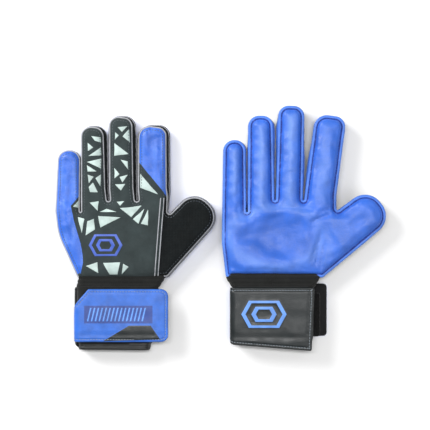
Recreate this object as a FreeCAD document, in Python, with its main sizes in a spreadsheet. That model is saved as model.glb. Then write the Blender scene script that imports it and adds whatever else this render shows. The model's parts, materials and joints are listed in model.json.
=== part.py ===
"""Pair of goalkeeper gloves, lying side by side: the left glove palm down, the right glove palm up.

Each glove is modelled in its own glove frame: the palm rests on z = 0, +Y runs from the wrist line to the
fingertips, and the thumb is on the +X side.  The right glove is the mirror image of the left one across X,
and is turned over about Y, so seen from above both thumbs point to +X.

Every panel is a closed slab with its true outline.  A finger is two segments, each with a latex palm pad and
a back with its gusset walls, so the finger stalls and the hand are hollow.  Panels stop just short of each
bend line, and the palm pads are bevelled there, so that they close like a book when the glove bends.
"""

import os

import FreeCAD, Part
import Sketcher

Vector, Rotation, Placement = FreeCAD.Vector, FreeCAD.Rotation, FreeCAD.Placement

# Driving dimensions, in millimetres.
DIMENSIONS = {
    # thicknesses, and levels above the palm plane
    "pad_thick": 4.0,
    "back_thick": 3.5,
    "wall_thick": 2.2,
    "lining_thick": 0.8,
    "hand_height": 26.0,
    "finger_height": 23.0,
    "edge_round": 2.0,
    # gaps at the bend lines, each side
    "pad_gap": 0.6,
    "pad_bevel": 3.8,
    "back_gap": 1.9,
    # hand, from the wrist line at y = 0
    "hand_half": 63.0,
    "hand_start": 6.5,
    "heel_y": 52.0,
    "knuckle_y": 98.0,
    "little_knuckle_y": 86.0,
    "web_gap": 0.6,
    "web_depth": 5.0,
    "side_width": 24.0,
    "side_start": 4.0,
    "wrist_taper": 3.0,
    "wrist_taper_thumb": 6.0,
    "lining_inset": 4.0,
    # seam that the thumb folds along, and the step in the hand's edge at its top
    "seam_low_x": 47.0,
    "seam_low_y": 8.5,
    "seam_high_x": 57.5,
    "seam_high_y": 78.0,
    "seam_step": 4.5,
    # thumb
    "thumb_heel_y": 7.5,
    "thumb_drop": 2.5,
    "thumb_half": 22.0,
    "thumb_tip_half": 21.0,
    "thumb_web": 11.0,
    "thumb_wall_lap": 3.3,
    "thumb_tip_length": 27.5,
    "thumb_round": 18.0,
    # fingers: bend line centre, half widths, length from the bend line to the tip
    "index_x": 45.2,
    "index_half": 17.8,
    "index_tip_half": 17.0,
    "index_length": 86.0,
    "middle_x": 11.0,
    "middle_half": 14.6,
    "middle_tip_half": 14.0,
    "middle_length": 96.0,
    "ring_x": -20.4,
    "ring_half": 14.6,
    "ring_tip_half": 13.4,
    "ring_length": 85.0,
    "little_x": -49.8,
    "little_half": 13.0,
    "little_tip_half": 12.0,
    "little_length": 70.0,
    "base_share": 0.5,
    "tip_round": 9.5,
    # cuff
    "cuff_half": 45.0,
    "cuff_start": 2.0,
    "cuff_length": 77.0,
    "cuff_low": 3.5,
    "cuff_high": 20.8,
    "cuff_wall": 2.6,
    "cuff_round": 7.0,
    # strap: palm section wrapped round the side, free flap over the back
    "strap_start": 8.7,
    "strap_width": 58.5,
    "strap_thick": 3.3,
    "strap_reach": 106.0,
    "strap_corner": 9.0,
    "anchor_low": 0.8,
    "anchor_thick": 2.5,
    "fold_out": 3.0,
    "fold_gap": 0.3,
    "fold_height": 22.4,
    # hook-and-loop
    "patch_thick": 0.9,
    "patch_margin": 5.0,
    "hook_start": 30.0,
    "loop_half": 35.0,
}

# How each glove lies: its place, how far its cuff sits off the hand's middle line, how much shorter its
# fingers are drawn in, its thumb's bend, and the spread of its fingers and thumb in degrees.
LAY = {
    "left": {
        "origin_x": -120.45,
        "cuff_shift": 4.5,
        "finger_setback": 11.0,
        "thumb_bend_x": 87.1,
        "thumb_bend_y": 68.4,
        "thumb_heel_x": 64.0,
        "index_spread": 0.5,
        "middle_spread": 1.2,
        "ring_spread": 1.0,
        "little_spread": 1.5,
        "thumb_spread": 44.0,
    },
    "right": {
        "origin_x": 64.0,
        "cuff_shift": -7.3,
        "finger_setback": 0.0,
        "thumb_bend_x": 90.7,
        "thumb_bend_y": 67.8,
        "thumb_heel_x": 52.5,
        "index_spread": 8.0,
        "middle_spread": 1.5,
        "ring_spread": 0.2,
        "little_spread": 0.0,
        "thumb_spread": 52.0,
    },
}
ORIGIN_Y = -58.93
FINGERS = ("index", "middle", "ring", "little")
NEAR = 1e-4    # how close two places must be to count as one

doc = FreeCAD.newDocument("goalkeeper_gloves")
sheet = doc.addObject("Spreadsheet::Sheet", "Sizes")


def fill_sheet():
    """One row per dimension: its name in column A, and its value in column B under that name as alias."""
    rows = dict(DIMENSIONS)
    for glove, lay in LAY.items():
        rows.update({f"{glove}_{name}": value for name, value in lay.items()})
    for row, (name, value) in enumerate(rows.items(), start=1):
        sheet.set(f"A{row}", name)
        sheet.set(f"B{row}", str(value))
        sheet.setAlias(f"B{row}", name)
    doc.recompute()


def worth(expression):
    """The number that a sheet expression stands for."""
    value = sheet.evalExpression(expression)
    return float(getattr(value, "Value", value))


def cell(name):
    return f"Sizes.{name}"


# ------------------------------------------------------------------------------------------ building solids
def outline_sketch(body, name, plane, offset, loops):
    """Closed polygons whose every corner is held at its (x, y) expressions, offset along the plane's normal."""
    sketch = body.newObject("Sketcher::SketchObject", name)
    support = next(item for item in body.Origin.OriginFeatures if item.Role == plane)
    sketch.AttachmentSupport = (support, [""])
    sketch.MapMode = "FlatFace"
    sketch.setExpression("AttachmentOffset.Base.z", offset)
    for points in loops:
        first = sketch.GeometryCount
        count = len(points)
        places = [Vector(worth(x), worth(y), 0) for x, y in points]
        for i, place in enumerate(places):
            sketch.addGeometry(Part.LineSegment(place, places[(i + 1) % count]))
        for i in range(count):
            after = first + (i + 1) % count
            sketch.addConstraint(Sketcher.Constraint("Coincident", first + i, 2, after, 1))
        for i, (place, point) in enumerate(zip(places, points)):
            for kind, value, expression in zip(("DistanceX", "DistanceY"), (place.x, place.y), point):
                number = sketch.addConstraint(Sketcher.Constraint(kind, -1, 1, first + i, 1, value))
                sketch.setExpression(f"Constraints[{number}]", expression)
    return sketch


def prism(label, loops, low, thick, plane="XY_Plane"):
    """A body with one pad of the outline, from the low level, thick along the plane's normal."""
    body = doc.addObject("PartDesign::Body", label)
    body.Label = label
    pad = body.newObject("PartDesign::Pad", label + "_pad")
    pad.Profile = outline_sketch(body, label + "_outline", plane, low, loops)
    pad.setExpression("Length", thick)
    doc.recompute()
    return body


def dress(body, kind, wanted, size_name, size):
    """Adds a Fillet or a Chamfer on every edge whose two ends and midpoint are wanted."""
    base = body.Tip
    edges = []
    for number, edge in enumerate(base.Shape.Edges, start=1):
        middle = edge.valueAt((edge.FirstParameter + edge.LastParameter) / 2)
        if wanted([vertex.Point for vertex in edge.Vertexes] + [middle]):
            edges.append(f"Edge{number}")
    if not edges:
        raise RuntimeError(f"{body.Label}: no edge for its {kind}")
    feature = body.newObject(f"PartDesign::{kind}", f"{body.Label}_{kind.lower()}_{len(body.Group)}")
    feature.Base = (base, edges)
    feature.setExpression(size_name, size)
    doc.recompute()


def round_edges(body, wanted, size):
    dress(body, "Fillet", wanted, "Radius", size)


def bevel_edges(body, wanted, size):
    dress(body, "Chamfer", wanted, "Size", size)


def all_at(points, axis, value):
    return all(abs(getattr(point, axis) - value) < NEAR for point in points)


def group(label, solids):
    """Several separate solids that share one node."""
    compound = doc.addObject("Part::Compound", label)
    compound.Label = label
    compound.Links = solids
    return compound


# ----------------------------------------------------------------------------------------------- one glove
class Glove:
    """Builds one glove from outlines drawn for the left one; the right one mirrors their x."""

    def __init__(self, side):
        self.side = side
        self.sign = 1 if side == "left" else -1
        self.nodes = []
        self.place = Placement(Vector(worth(self.own("origin_x")), ORIGIN_Y, 0), Rotation())
        if side == "right":
            self.place *= Placement(Vector(0, 0, worth(cell("hand_height"))), Rotation(Vector(0, 1, 0), 180))

    def own(self, name):
        """This glove's own cell for one of the LAY values."""
        return cell(f"{self.side}_{name}")

    def slab(self, label, points, low, thick, frame=Placement()):
        """A flat piece with the outline, lying in the glove's frame, or in a frame inside that."""
        mirrored = [(f"{self.sign} * ({x})", y) for x, y in points]
        body = prism(f"{self.side}_{label}", [mirrored], low, thick)
        body.Placement = self.place * frame
        return body

    # ---- lines that several pieces share
    def bend(self, finger, gap):
        """The two ends of the hand's edge at a finger's bend line, the little finger's side first."""
        middle, half = cell(finger + "_x"), cell(finger + "_half")
        ends = [f"{middle} - {half} - {cell('web_gap')}", f"{middle} + {half} + {cell('web_gap')}"]
        if finger == "little":
            ends[1] = f"{cell('ring_x')} - {cell('ring_half')} - {cell('web_gap')}"
        level = cell("little_knuckle_y" if finger == "little" else "knuckle_y")
        slope = f"tan({self.own(finger + '_spread')})"
        return [(x, f"{level} - ({x} - {middle}) * {slope} - {gap}") for x in ends]

    def bends(self, gap):
        """The hand's edge from the little finger to the index finger, with a notch at each web."""
        little, ring, middle, index = (self.bend(finger, gap) for finger in FINGERS[::-1])
        edge = little + ring
        for before, after in ((ring, middle), (middle, index)):
            edge += [(x, f"{y} - {cell('web_depth')}") for x, y in (before[1], after[0])]
            edge += after
        return edge

    def seam(self, across, along="0"):
        """The thumb seam's upper and lower ends, moved across it to the thumb, and the upper one along it."""
        run_x = f"({cell('seam_high_x')} - {cell('seam_low_x')})"
        run_y = f"({cell('seam_high_y')} - {cell('seam_low_y')})"
        run = f"sqrt({run_x} * {run_x} + {run_y} * {run_y})"
        step_x = f"{across} * {run_y} / {run}"
        step_y = f"{across} * {run_x} / {run}"
        return [
            (f"{cell('seam_high_x')} + {step_x} + {along} * {run_x} / {run}",
             f"{cell('seam_high_y')} - {step_y} + {along} * {run_y} / {run}"),
            (f"{cell('seam_low_x')} + {step_x}", f"{cell('seam_low_y')} - {step_y}"),
        ]

    def wrist(self):
        """The two ends of the hand's edge at the wrist, the little finger's side first."""
        middle, half = self.own("cuff_shift"), cell("cuff_half")
        return [
            (f"{middle} - {half} + {cell('wrist_taper')}", cell("hand_start")),
            (f"{middle} + {half} - {cell('wrist_taper_thumb')}", cell("hand_start")),
        ]

    def outer_edge(self):
        """The hand's edge on the little finger's side, from the wrist up to its widest place."""
        return [self.wrist()[0], (f"-{cell('hand_half')}", cell("heel_y"))]

    def side_line(self):
        """Where the latex side strip meets the backhand, from the wrist up."""
        return [
            (f"{self.wrist()[0][0]} + {cell('side_start')}", cell("hand_start")),
            (f"{cell('side_width')} - {cell('hand_half')}", cell("heel_y")),
        ]

    # ---- hand
    def build_hand(self):
        self.palm_panel()
        self.back_panels()
        self.hand_gusset()
        self.lining()

    def palm_panel(self):
        gap = cell("pad_gap")
        seam = self.seam(f"(-{gap})")
        outline = self.outer_edge() + self.bends(gap) + [self.seam(cell("seam_step"))[0]] + seam
        panel = self.slab("palm_panel", outline + self.wrist()[1:], "0", cell("pad_thick"))
        lines = [self.bend(finger, gap) for finger in FINGERS] + [seam]
        hinges = [[Vector(self.sign * worth(x), worth(y), 0) for x, y in line] for line in lines]

        def on_a_hinge(points):
            return any(
                all(point.distanceToLine(start, end - start) < NEAR for point in points)
                for start, end in hinges
            )

        bevel_edges(
            panel, lambda points: all_at(points, "z", 0) and on_a_hinge(points), cell("pad_bevel")
        )
        self.nodes.append(panel)

    def back_panels(self):
        gap, thick = cell("back_gap"), cell("back_thick")
        low = f"{cell('hand_height')} - {thick}"
        bends = self.bends(gap)
        strip = self.slab("side_panel", self.outer_edge() + bends[:2] + self.side_line()[::-1], low, thick)
        outer = [self.sign * worth(x) for x, _ in self.outer_edge() + bends[:1]]
        top = worth(cell("hand_height"))
        round_edges(
            strip,
            lambda points: all_at(points, "z", top)
            and all(min(abs(point.x - x) for x in outer) < NEAR for point in points[:2]),
            cell("edge_round"),
        )
        self.nodes.append(strip)
        outline = self.side_line() + bends[1:] + [self.seam(cell("seam_step"))[0]]
        outline += self.seam(f"(-{gap})") + self.wrist()[1:]
        self.nodes.append(self.slab("back_panel", outline, low, thick))

    def hand_gusset(self):
        """Walls between palm and back: on the little finger's side, beside the ring finger, at the index."""
        low, wall = cell("pad_thick"), cell("wall_thick")
        thick = f"{cell('hand_height')} - {cell('back_thick')} - {low}"
        bends = self.bends(cell("back_gap"))
        lines = {
            "outer": self.outer_edge() + bends[:1],
            "step": bends[1:3],
            "index": [self.seam(cell("seam_step"))[0], bends[-1]],
        }
        walls = []
        for name, line in lines.items():
            way = "-" if name == "index" else "+"
            inner = [(f"{x} {way} {wall}", y) for x, y in line[::-1]]
            walls.append(self.slab(f"gusset_{name}", line + inner, low, thick))
        self.nodes.append(group(f"{self.side}_hand_gusset", walls))

    def lining(self):
        """Two thin sheets, facing the palm and the back inside the hand."""
        inset, thick = cell("lining_inset"), cell("lining_thick")
        little_top, top = (f"{cell(name)} - {inset}" for name in ("little_knuckle_y", "knuckle_y"))
        step = f"{cell('ring_x')} - {cell('ring_half')} + {inset}"
        (left, start), (right, _) = self.wrist()
        outline = [
            (f"{left} + {inset}", start),
            (f"{inset} - {cell('hand_half')}", cell("heel_y")),
            (f"{inset} - {cell('hand_half')}", little_top),
            (step, little_top),
            (step, top),
            (f"{cell('index_x')} + {cell('index_half')} - {inset}", top),
            (f"{cell('seam_high_x')} - {inset}", cell("seam_high_y")),
            (f"{cell('seam_low_x')} - {inset}", cell("seam_low_y")),
            (f"{right} - {inset}", start),
        ]
        back_level = f"{cell('hand_height')} - {cell('back_thick')} - {thick}"
        sheets = [
            self.slab("lining_palm", outline, cell("pad_thick"), thick),
            self.slab("lining_back", outline, back_level, thick),
        ]
        self.nodes.append(group(f"{self.side}_lining", sheets))

    # ---- finger and thumb segments, each in a frame with its origin on the bend line and +Y to the tip
    def frame(self, x, y, spread, ahead=0.0):
        """The frame at (x, y), turned by spread to the thumb's side, moved ahead along its own +Y."""
        turn = Rotation(Vector(0, 0, 1), -self.sign * worth(spread))
        start = Placement(Vector(self.sign * worth(x), worth(y), 0), turn)
        return start * Placement(Vector(0, ahead, 0), Rotation())

    def bevel_ends(self, pad, ends):
        """Bevels the pad's lower edges that lie across it at the given distances."""
        levels = [worth(end) for end in ends]
        bevel_edges(
            pad,
            lambda points: all_at(points, "z", 0) and any(all_at(points, "y", y) for y in levels),
            cell("pad_bevel"),
        )

    def round_corners(self, body, corner_x, corner_y, radius):
        """Rounds the two upright edges at (+-corner_x, corner_y)."""
        x, y = worth(corner_x), worth(corner_y)
        round_edges(
            body,
            lambda points: all_at(points, "y", y) and all(abs(abs(point.x) - x) < NEAR for point in points),
            radius,
        )

    def round_top(self, back, open_ends):
        """Rounds the back's upper outer edges, but not those across its open ends."""
        top = worth(cell("finger_height"))
        levels = [worth(end) for end in open_ends]
        round_edges(
            back,
            lambda points: all_at(points, "z", top) and not any(all_at(points, "y", y) for y in levels),
            cell("edge_round"),
        )

    def build_base(self, name, frame, root, tip, length):
        """A segment that is open at both ends."""
        pad_gap, back_gap, wall = cell("pad_gap"), cell("back_gap"), cell("wall_thick")
        ends = [pad_gap, f"{length} - {pad_gap}"]
        outline = trapezium(root, tip, *ends)
        pad = self.slab(f"{name}_base_palm", outline, "0", cell("pad_thick"), frame)
        self.bevel_ends(pad, ends)
        self.nodes.append(pad)

        low, thick, gusset_low, gusset_thick = back_levels()
        ends = [back_gap, f"{length} - {back_gap}"]
        back = self.slab(f"{name}_base_backhand", trapezium(root, tip, *ends), low, thick, frame)
        self.round_top(back, ends)
        solids = [back]
        for way, edge in ((-1, "inner"), (1, "outer")):
            line = [(f"{way} * {root}", ends[0]), (f"{way} * {tip}", ends[1])]
            line += [(f"{x} - {way} * {wall}", y) for x, y in line[::-1]]
            solids.append(self.slab(f"{name}_base_gusset_{edge}", line, gusset_low, gusset_thick, frame))
        self.nodes.append(group(f"{self.side}_{name}_base_back", solids))

    def build_tip(self, name, frame, root, tip, length, radius):
        """A segment that is closed and rounded at its far end."""
        pad_gap, back_gap, wall = cell("pad_gap"), cell("back_gap"), cell("wall_thick")
        outline = trapezium(root, tip, pad_gap, length)
        pad = self.slab(f"{name}_tip_palm", outline, "0", cell("pad_thick"), frame)
        self.round_corners(pad, tip, length, radius)
        self.bevel_ends(pad, [pad_gap])
        self.nodes.append(pad)

        low, thick, gusset_low, gusset_thick = back_levels()
        outline = trapezium(root, tip, back_gap, length)
        back = self.slab(f"{name}_tip_backhand", outline, low, thick, frame)
        self.round_corners(back, tip, length, radius)
        self.round_top(back, [back_gap])

        inner_tip, inner_length = f"({tip} - {wall})", f"({length} - {wall})"
        inside = trapezium(f"({root} - {wall})", inner_tip, back_gap, inner_length)
        around = [*outline[1:], outline[0], inside[0], *inside[:0:-1]]
        gusset = self.slab(f"{name}_tip_gusset", around, gusset_low, gusset_thick, frame)
        self.round_corners(gusset, tip, length, radius)
        self.round_corners(gusset, inner_tip, inner_length, f"{radius} - {wall}")
        self.nodes.append(group(f"{self.side}_{name}_tip_back", [back, gusset]))

    def build_finger(self, finger):
        root, tip = cell(finger + "_half"), cell(finger + "_tip_half")
        middle = f"({root} + {tip}) / 2"
        length = f"({cell(finger + '_length')} - {self.own('finger_setback')})"
        base_length = f"({length} * {cell('base_share')})"
        level = cell("little_knuckle_y" if finger == "little" else "knuckle_y")
        place = (cell(finger + "_x"), level, self.own(finger + "_spread"))
        self.build_base(finger, self.frame(*place), root, f"({middle})", base_length)
        tip_frame = self.frame(*place, ahead=worth(base_length))
        self.build_tip(finger, tip_frame, f"({middle})", tip, f"({length} - {base_length})", cell("tip_round"))

    # ---- thumb
    def thumb_outline(self, gap):
        """The thumb's base: the seam's two ends, the web, the bend line's two ends and the heel."""
        middle_x, middle_y, spread = (self.own("thumb_" + name) for name in ("bend_x", "bend_y", "spread"))
        half = cell("thumb_half")
        seam_high, seam_low = self.seam(gap, f"(-{cell('thumb_drop')})")
        bend = [
            (f"{middle_x} {way} {half} * cos({spread}) - {gap} * sin({spread})",
             f"{middle_y} {other} {half} * sin({spread}) - {gap} * cos({spread})")
            for way, other in (("-", "+"), ("+", "-"))
        ]
        back = f"({cell('thumb_web')} - {gap})"
        web = (f"{bend[0][0]} - {back} * sin({spread})", f"{bend[0][1]} - {back} * cos({spread})")
        return [seam_low, seam_high, web] + bend + [(self.own("thumb_heel_x"), cell("thumb_heel_y"))]

    def build_thumb(self):
        wall, lap = cell("wall_thick"), cell("thumb_wall_lap")
        outline = self.thumb_outline(cell("pad_gap"))
        pad = self.slab("thumb_base_palm", outline, "0", cell("pad_thick"))
        corners = [Vector(self.sign * worth(x), worth(y), 0) for x, y in outline]
        for start, end in (corners[0:2], corners[3:5]):
            bevel_edges(
                pad,
                lambda points: all_at(points, "z", 0)
                and all(point.distanceToLine(start, end - start) < NEAR for point in points),
                cell("pad_bevel"),
            )
        self.nodes.append(pad)

        low, thick, gusset_low, gusset_thick = back_levels()
        outline = self.thumb_outline(cell("back_gap"))
        seam_low, seam_high, web, bend_high, bend_low, heel = outline
        sides = {
            "web": [
                seam_high,
                web,
                bend_high,
                (bend_high[0], f"{bend_high[1]} - {lap}"),
                (web[0], f"{web[1]} - {lap}"),
                (seam_high[0], f"{seam_high[1]} - {wall}"),
            ],
            "outer": [
                heel,
                bend_low,
                (f"{bend_low[0]} - {wall}", bend_low[1]),
                (f"{heel[0]} - {wall}", heel[1]),
            ],
        }
        solids = [self.slab("thumb_base_backhand", outline, low, thick)]
        solids += [
            self.slab(f"thumb_base_gusset_{name}", points, gusset_low, gusset_thick)
            for name, points in sides.items()
        ]
        self.nodes.append(group(f"{self.side}_thumb_base_back", solids))
        bend = self.frame(*(self.own("thumb_" + name) for name in ("bend_x", "bend_y", "spread")))
        sizes = [cell("thumb_" + name) for name in ("half", "tip_half", "tip_length", "round")]
        self.build_tip("thumb", bend, *sizes)

    # ---- cuff and strap
    def cuff_side(self, way, out="0"):
        """x of the cuff's side on the little finger's (-) or the thumb's (+) side, moved outward."""
        return f"{self.own('cuff_shift')} {way} ({cell('cuff_half')} + {out})"

    def band(self, left, right, margin="0"):
        """An outline between two x values, over the strap's width less a margin at each side."""
        start = f"-{cell('strap_start')} - {margin}"
        end = f"-{cell('strap_start')} - {cell('strap_width')} + {margin}"
        return [(left, end), (left, start), (right, start), (right, end)]

    def build_cuff(self):
        wall, low, high = cell("cuff_wall"), cell("cuff_low"), cell("cuff_high")
        loops = []
        for inset in ("0", wall):
            left, right = (f"{self.sign} * ({self.cuff_side(way, f'(-{inset})')})" for way in "-+")
            bottom, top = f"{low} + {inset}", f"{high} - {inset}"
            loops.append([(left, bottom), (right, bottom), (right, top), (left, top)])
        length = f"{cell('cuff_length')} - {cell('cuff_start')}"
        cuff = prism(f"{self.side}_cuff", loops, cell("cuff_start"), length, "XZ_Plane")
        cuff.Placement = self.place
        for loop, radius in zip(loops, (cell("cuff_round"), f"{cell('cuff_round')} - {wall}")):
            corners = [(worth(x), worth(z)) for x, z in loop]
            round_edges(
                cuff,
                lambda points: any(all_at(points, "x", x) and all_at(points, "z", z) for x, z in corners),
                radius,
            )
        self.nodes.append(cuff)

    def build_strap(self):
        fold = self.cuff_side("-", cell("fold_out"))
        anchor_top = f"({cell('anchor_low')} + {cell('anchor_thick')})"
        flap_low = f"{cell('hand_height')} - {cell('strap_thick')}"
        patch, margin = cell("patch_thick"), cell("patch_margin")
        palm_side = self.slab(
            "strap_palm_side", self.band(fold, self.cuff_side("+")), cell("anchor_low"), cell("anchor_thick")
        )
        wrap = self.slab(
            "strap_wrap", self.band(fold, self.cuff_side("-", cell("fold_gap"))),
            anchor_top, f"{cell('fold_height')} - 2 * {cell('fold_gap')} - {anchor_top}",
        )
        self.nodes.append(group(f"{self.side}_strap_anchor", [palm_side, wrap]))
        middle, loop_half = self.own("cuff_shift"), cell("loop_half")
        loop = self.band(f"{middle} - {loop_half}", f"{middle} + {loop_half}", margin)
        self.nodes.append(self.slab("loop_patch", loop, cell("cuff_high"), patch))

        end = f"{fold} + {cell('strap_reach')}"
        flap = self.slab("strap", self.band(fold, end), flap_low, cell("strap_thick"))
        free_x = self.sign * worth(end)
        round_edges(
            flap,
            lambda points: all_at(points, "x", free_x) and abs(points[0].z - points[1].z) > NEAR,
            cell("strap_corner"),
        )
        self.nodes.append(flap)
        hook = self.band(f"{fold} + {cell('hook_start')}", f"{end} - {margin}", margin)
        self.nodes.append(self.slab("hook_patch", hook, f"{flap_low} - {patch}", patch))

    def build(self):
        self.build_hand()
        for finger in FINGERS:
            self.build_finger(finger)
        self.build_thumb()
        self.build_cuff()
        self.build_strap()


def trapezium(root, tip, near, far):
    """Corners of a segment's outline: half widths root and tip at the distances near and far."""
    return [(f"-{root}", near), (root, near), (tip, far), (f"-{tip}", far)]


def back_levels():
    """Low level and thickness of a segment's back, then of the gusset below it."""
    thick, pad = cell("back_thick"), cell("pad_thick")
    low = f"({cell('finger_height')} - {thick})"
    return low, thick, pad, f"{low} - {pad}"


def check(item):
    """Stops on a feature that FreeCAD marks as failed, or on a solid that isn't valid."""
    parts = item.Links if item.TypeId == "Part::Compound" else [item]
    for part in parts:
        for feature in [part, *part.Group]:
            if {"Invalid", "Error"} & set(feature.State):
                raise RuntimeError(f"{feature.Label}: {feature.State}")
        if len(part.Shape.Solids) != 1:
            raise RuntimeError(f"{part.Label}: {len(part.Shape.Solids)} solids, not one")
    if not item.Shape.isValid() or item.Shape.Volume <= 0:
        raise RuntimeError(f"{item.Label}: its shape isn't valid")


fill_sheet()
gloves = [Glove(side) for side in LAY]
for glove in gloves:
    glove.build()
doc.recompute()
os.makedirs("parts", exist_ok=True)
for glove in gloves:
    for node in glove.nodes:
        check(node)
        node.Shape.exportStep(f"parts/{node.Label}.step")
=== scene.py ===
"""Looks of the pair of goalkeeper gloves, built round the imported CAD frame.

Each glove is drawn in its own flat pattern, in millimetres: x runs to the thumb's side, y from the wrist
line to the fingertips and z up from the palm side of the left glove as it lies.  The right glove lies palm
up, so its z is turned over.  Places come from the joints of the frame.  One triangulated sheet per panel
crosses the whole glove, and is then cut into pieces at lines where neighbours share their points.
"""

import json
import math

import bpy
import numpy as np
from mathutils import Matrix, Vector
from mathutils.geometry import delaunay_2d_cdt
from mathutils.kdtree import KDTree


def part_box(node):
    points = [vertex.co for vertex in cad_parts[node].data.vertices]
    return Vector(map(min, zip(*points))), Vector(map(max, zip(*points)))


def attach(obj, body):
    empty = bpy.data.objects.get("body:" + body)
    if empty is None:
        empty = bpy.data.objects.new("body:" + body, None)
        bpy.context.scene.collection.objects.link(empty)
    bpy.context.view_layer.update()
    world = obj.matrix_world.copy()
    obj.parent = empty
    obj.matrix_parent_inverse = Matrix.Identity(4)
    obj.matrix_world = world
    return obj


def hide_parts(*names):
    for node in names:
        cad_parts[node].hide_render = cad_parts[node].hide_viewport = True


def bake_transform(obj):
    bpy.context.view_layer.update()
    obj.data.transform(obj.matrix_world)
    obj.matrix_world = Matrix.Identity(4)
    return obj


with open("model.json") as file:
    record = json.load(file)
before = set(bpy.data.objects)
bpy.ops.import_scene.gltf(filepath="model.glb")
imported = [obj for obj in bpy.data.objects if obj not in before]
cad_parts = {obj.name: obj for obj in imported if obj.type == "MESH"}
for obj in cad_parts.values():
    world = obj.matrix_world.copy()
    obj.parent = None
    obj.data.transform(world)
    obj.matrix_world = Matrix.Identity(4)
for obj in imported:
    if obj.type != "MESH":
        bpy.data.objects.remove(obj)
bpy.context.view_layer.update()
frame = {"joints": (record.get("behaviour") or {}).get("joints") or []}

MM = 0.001
HEIGHT = 26.0            # thickness of a lying glove
UV_UNIT = 100.0          # millimetres of pattern per unit of the "pattern" UV map
STEP = 1.6               # spacing of points along outlines
PITCH = 2.7              # spacing of the points inside a sheet
FINGERS = ("little", "ring", "middle", "index")
# half widths of each finger at its root and at its tip, and the rounding of the tip's first corner
HALVES = {"little": (13.4, 12.5), "ring": (15.1, 13.9), "middle": (15.1, 14.5), "index": (18.3, 17.5)}
TIP_ROUNDS = {"little": 12.3, "ring": 12.5, "middle": 11.5, "index": 15.0}
TIP_ROUND = 12.0         # the rounding of every tip's second corner
KNUCKLE = (11.0, 98.0)   # the middle finger's bend line in the pattern
WEBS = ((-35.9, 77.0), (-4.7, 90.0), (26.7, 90.0))
WEB_GAP = 1.0
# how far the back's edge lies inside the palm's, at each finger's side next to the little finger and at its
# other side
BACK_INSETS = {
    "little": (0.9, 1.4), "ring": (0.9, 3.9), "middle": (0.9, 4.3), "index": (1.2, 4.8), "thumb": (2.2, 2.6),
}
EVEN_INSET = 1.1         # on the glove that lies palm up
SEAM_INSET = 3.7         # the stitched seam inside the palm's edge
# z of the palm's outer and inner faces at its edge, at these depths inside the outline
PALM_DEPTHS = (0, 0.5, 1.2, 3.0, 3.7, 4.6)
PALM_OUTER = (7.0, 6.2, 5.7, 5.5, 6.9, 5.3)
PALM_INNER = (7.0, 7.7, 8.2, 8.4, 8.0, 8.3)
BACK_EDGE, BACK_CREST = 17.6, 22.7      # z of the back over the fingers
EDGE_RISE, CREST_RISE = 2.6, 3.0        # how much higher it is over the hand
BACK_SEAM = 3.2          # the stitches inside the back's edge
CUFF_HALF, CUFF_LOW, CUFF_HIGH = 45.0, 3.5, 20.8
CUFF_MIDDLE = (CUFF_HIGH + CUFF_LOW) / 2
CUFF_THICK = (CUFF_HIGH - CUFF_LOW) / 2
CUFF_ROUND = 7.0
WRIST_MIDDLE = 12.2      # z of the middle of the wrist's elastic
STRAP_TOP, STRAP_END, STRAP_REACH = -8.7, -67.2, 106.0
STRAP_THICK = 3.2
WRAP_RADIUS, WRAP_CENTRE = 4.4, 20.0    # the arc of the bands round the cuff's side, and its centre's z
CUFF_TAIL = -77.2        # y of the end of the palm side's wrap
RAISED = 0.35            # how far printed shapes stand out
# where the small slope at a shape's edge starts, and where it ends on a raised and on a sunk shape
EDGE_FOOT, EDGE_HEAD, SUNK_HEAD = 0.42, 0.37, 0.05
CLOSEST = 0.75           # no point inside a sheet is nearer than this to a line or, nearly, to another point
CAMERA_RISE, CAMERA_WIDE = 2.2, 0.4773  # metres: its height, and the width that it sees
SENSOR = 36.0
joints = {joint["name"]: joint for joint in frame["joints"]}


# ---------------------------------------------------------------------------------------------- flat geometry
def unit(v):
    return v / np.linalg.norm(v)


def smooth(t):
    t = np.clip(t, 0.0, 1.0)
    return t * t * (3 - 2 * t)


def arch(t):
    """Rises from 0 to 1 like a quarter of a circle."""
    return np.sqrt(1 - (1 - np.clip(t, 0.0, 1.0)) ** 2)


def ripple(points, size, seed):
    """A soft random-looking field between about -1 and 1, with waves of about that size."""
    rng = np.random.default_rng(seed)
    total = 0.0
    for _ in range(5):
        angle, phase = rng.uniform(0, 2 * math.pi), rng.uniform(0, 2 * math.pi)
        wave = 2 * math.pi / (size * rng.uniform(0.7, 1.5))
        along = points[:, 0] * math.cos(angle) + points[:, 1] * math.sin(angle)
        total = total + np.sin(wave * along + phase)
    return total / 3.2


class Local:
    """A flat frame in the pattern: v runs along, u across to the thumb's side."""

    def __init__(self, at, along):
        self.at, self.along = np.array(at, float), unit(np.array(along, float))
        self.across = np.array((self.along[1], -self.along[0]))

    def place(self, u, v):
        return self.at + u * self.across + v * self.along

    def uv(self, points):
        gone = np.asarray(points) - self.at
        return gone @ self.across, gone @ self.along


def meet(a, b, local, v=None, u=None):
    """The point on the line a-b whose v, or u, in the local frame is the given one."""
    (ua, va), (ub, vb) = local.uv(a), local.uv(b)
    t = (v - va) / (vb - va) if v is not None else (u - ua) / (ub - ua)
    return np.asarray(a) + t * (np.asarray(b) - np.asarray(a))


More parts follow.
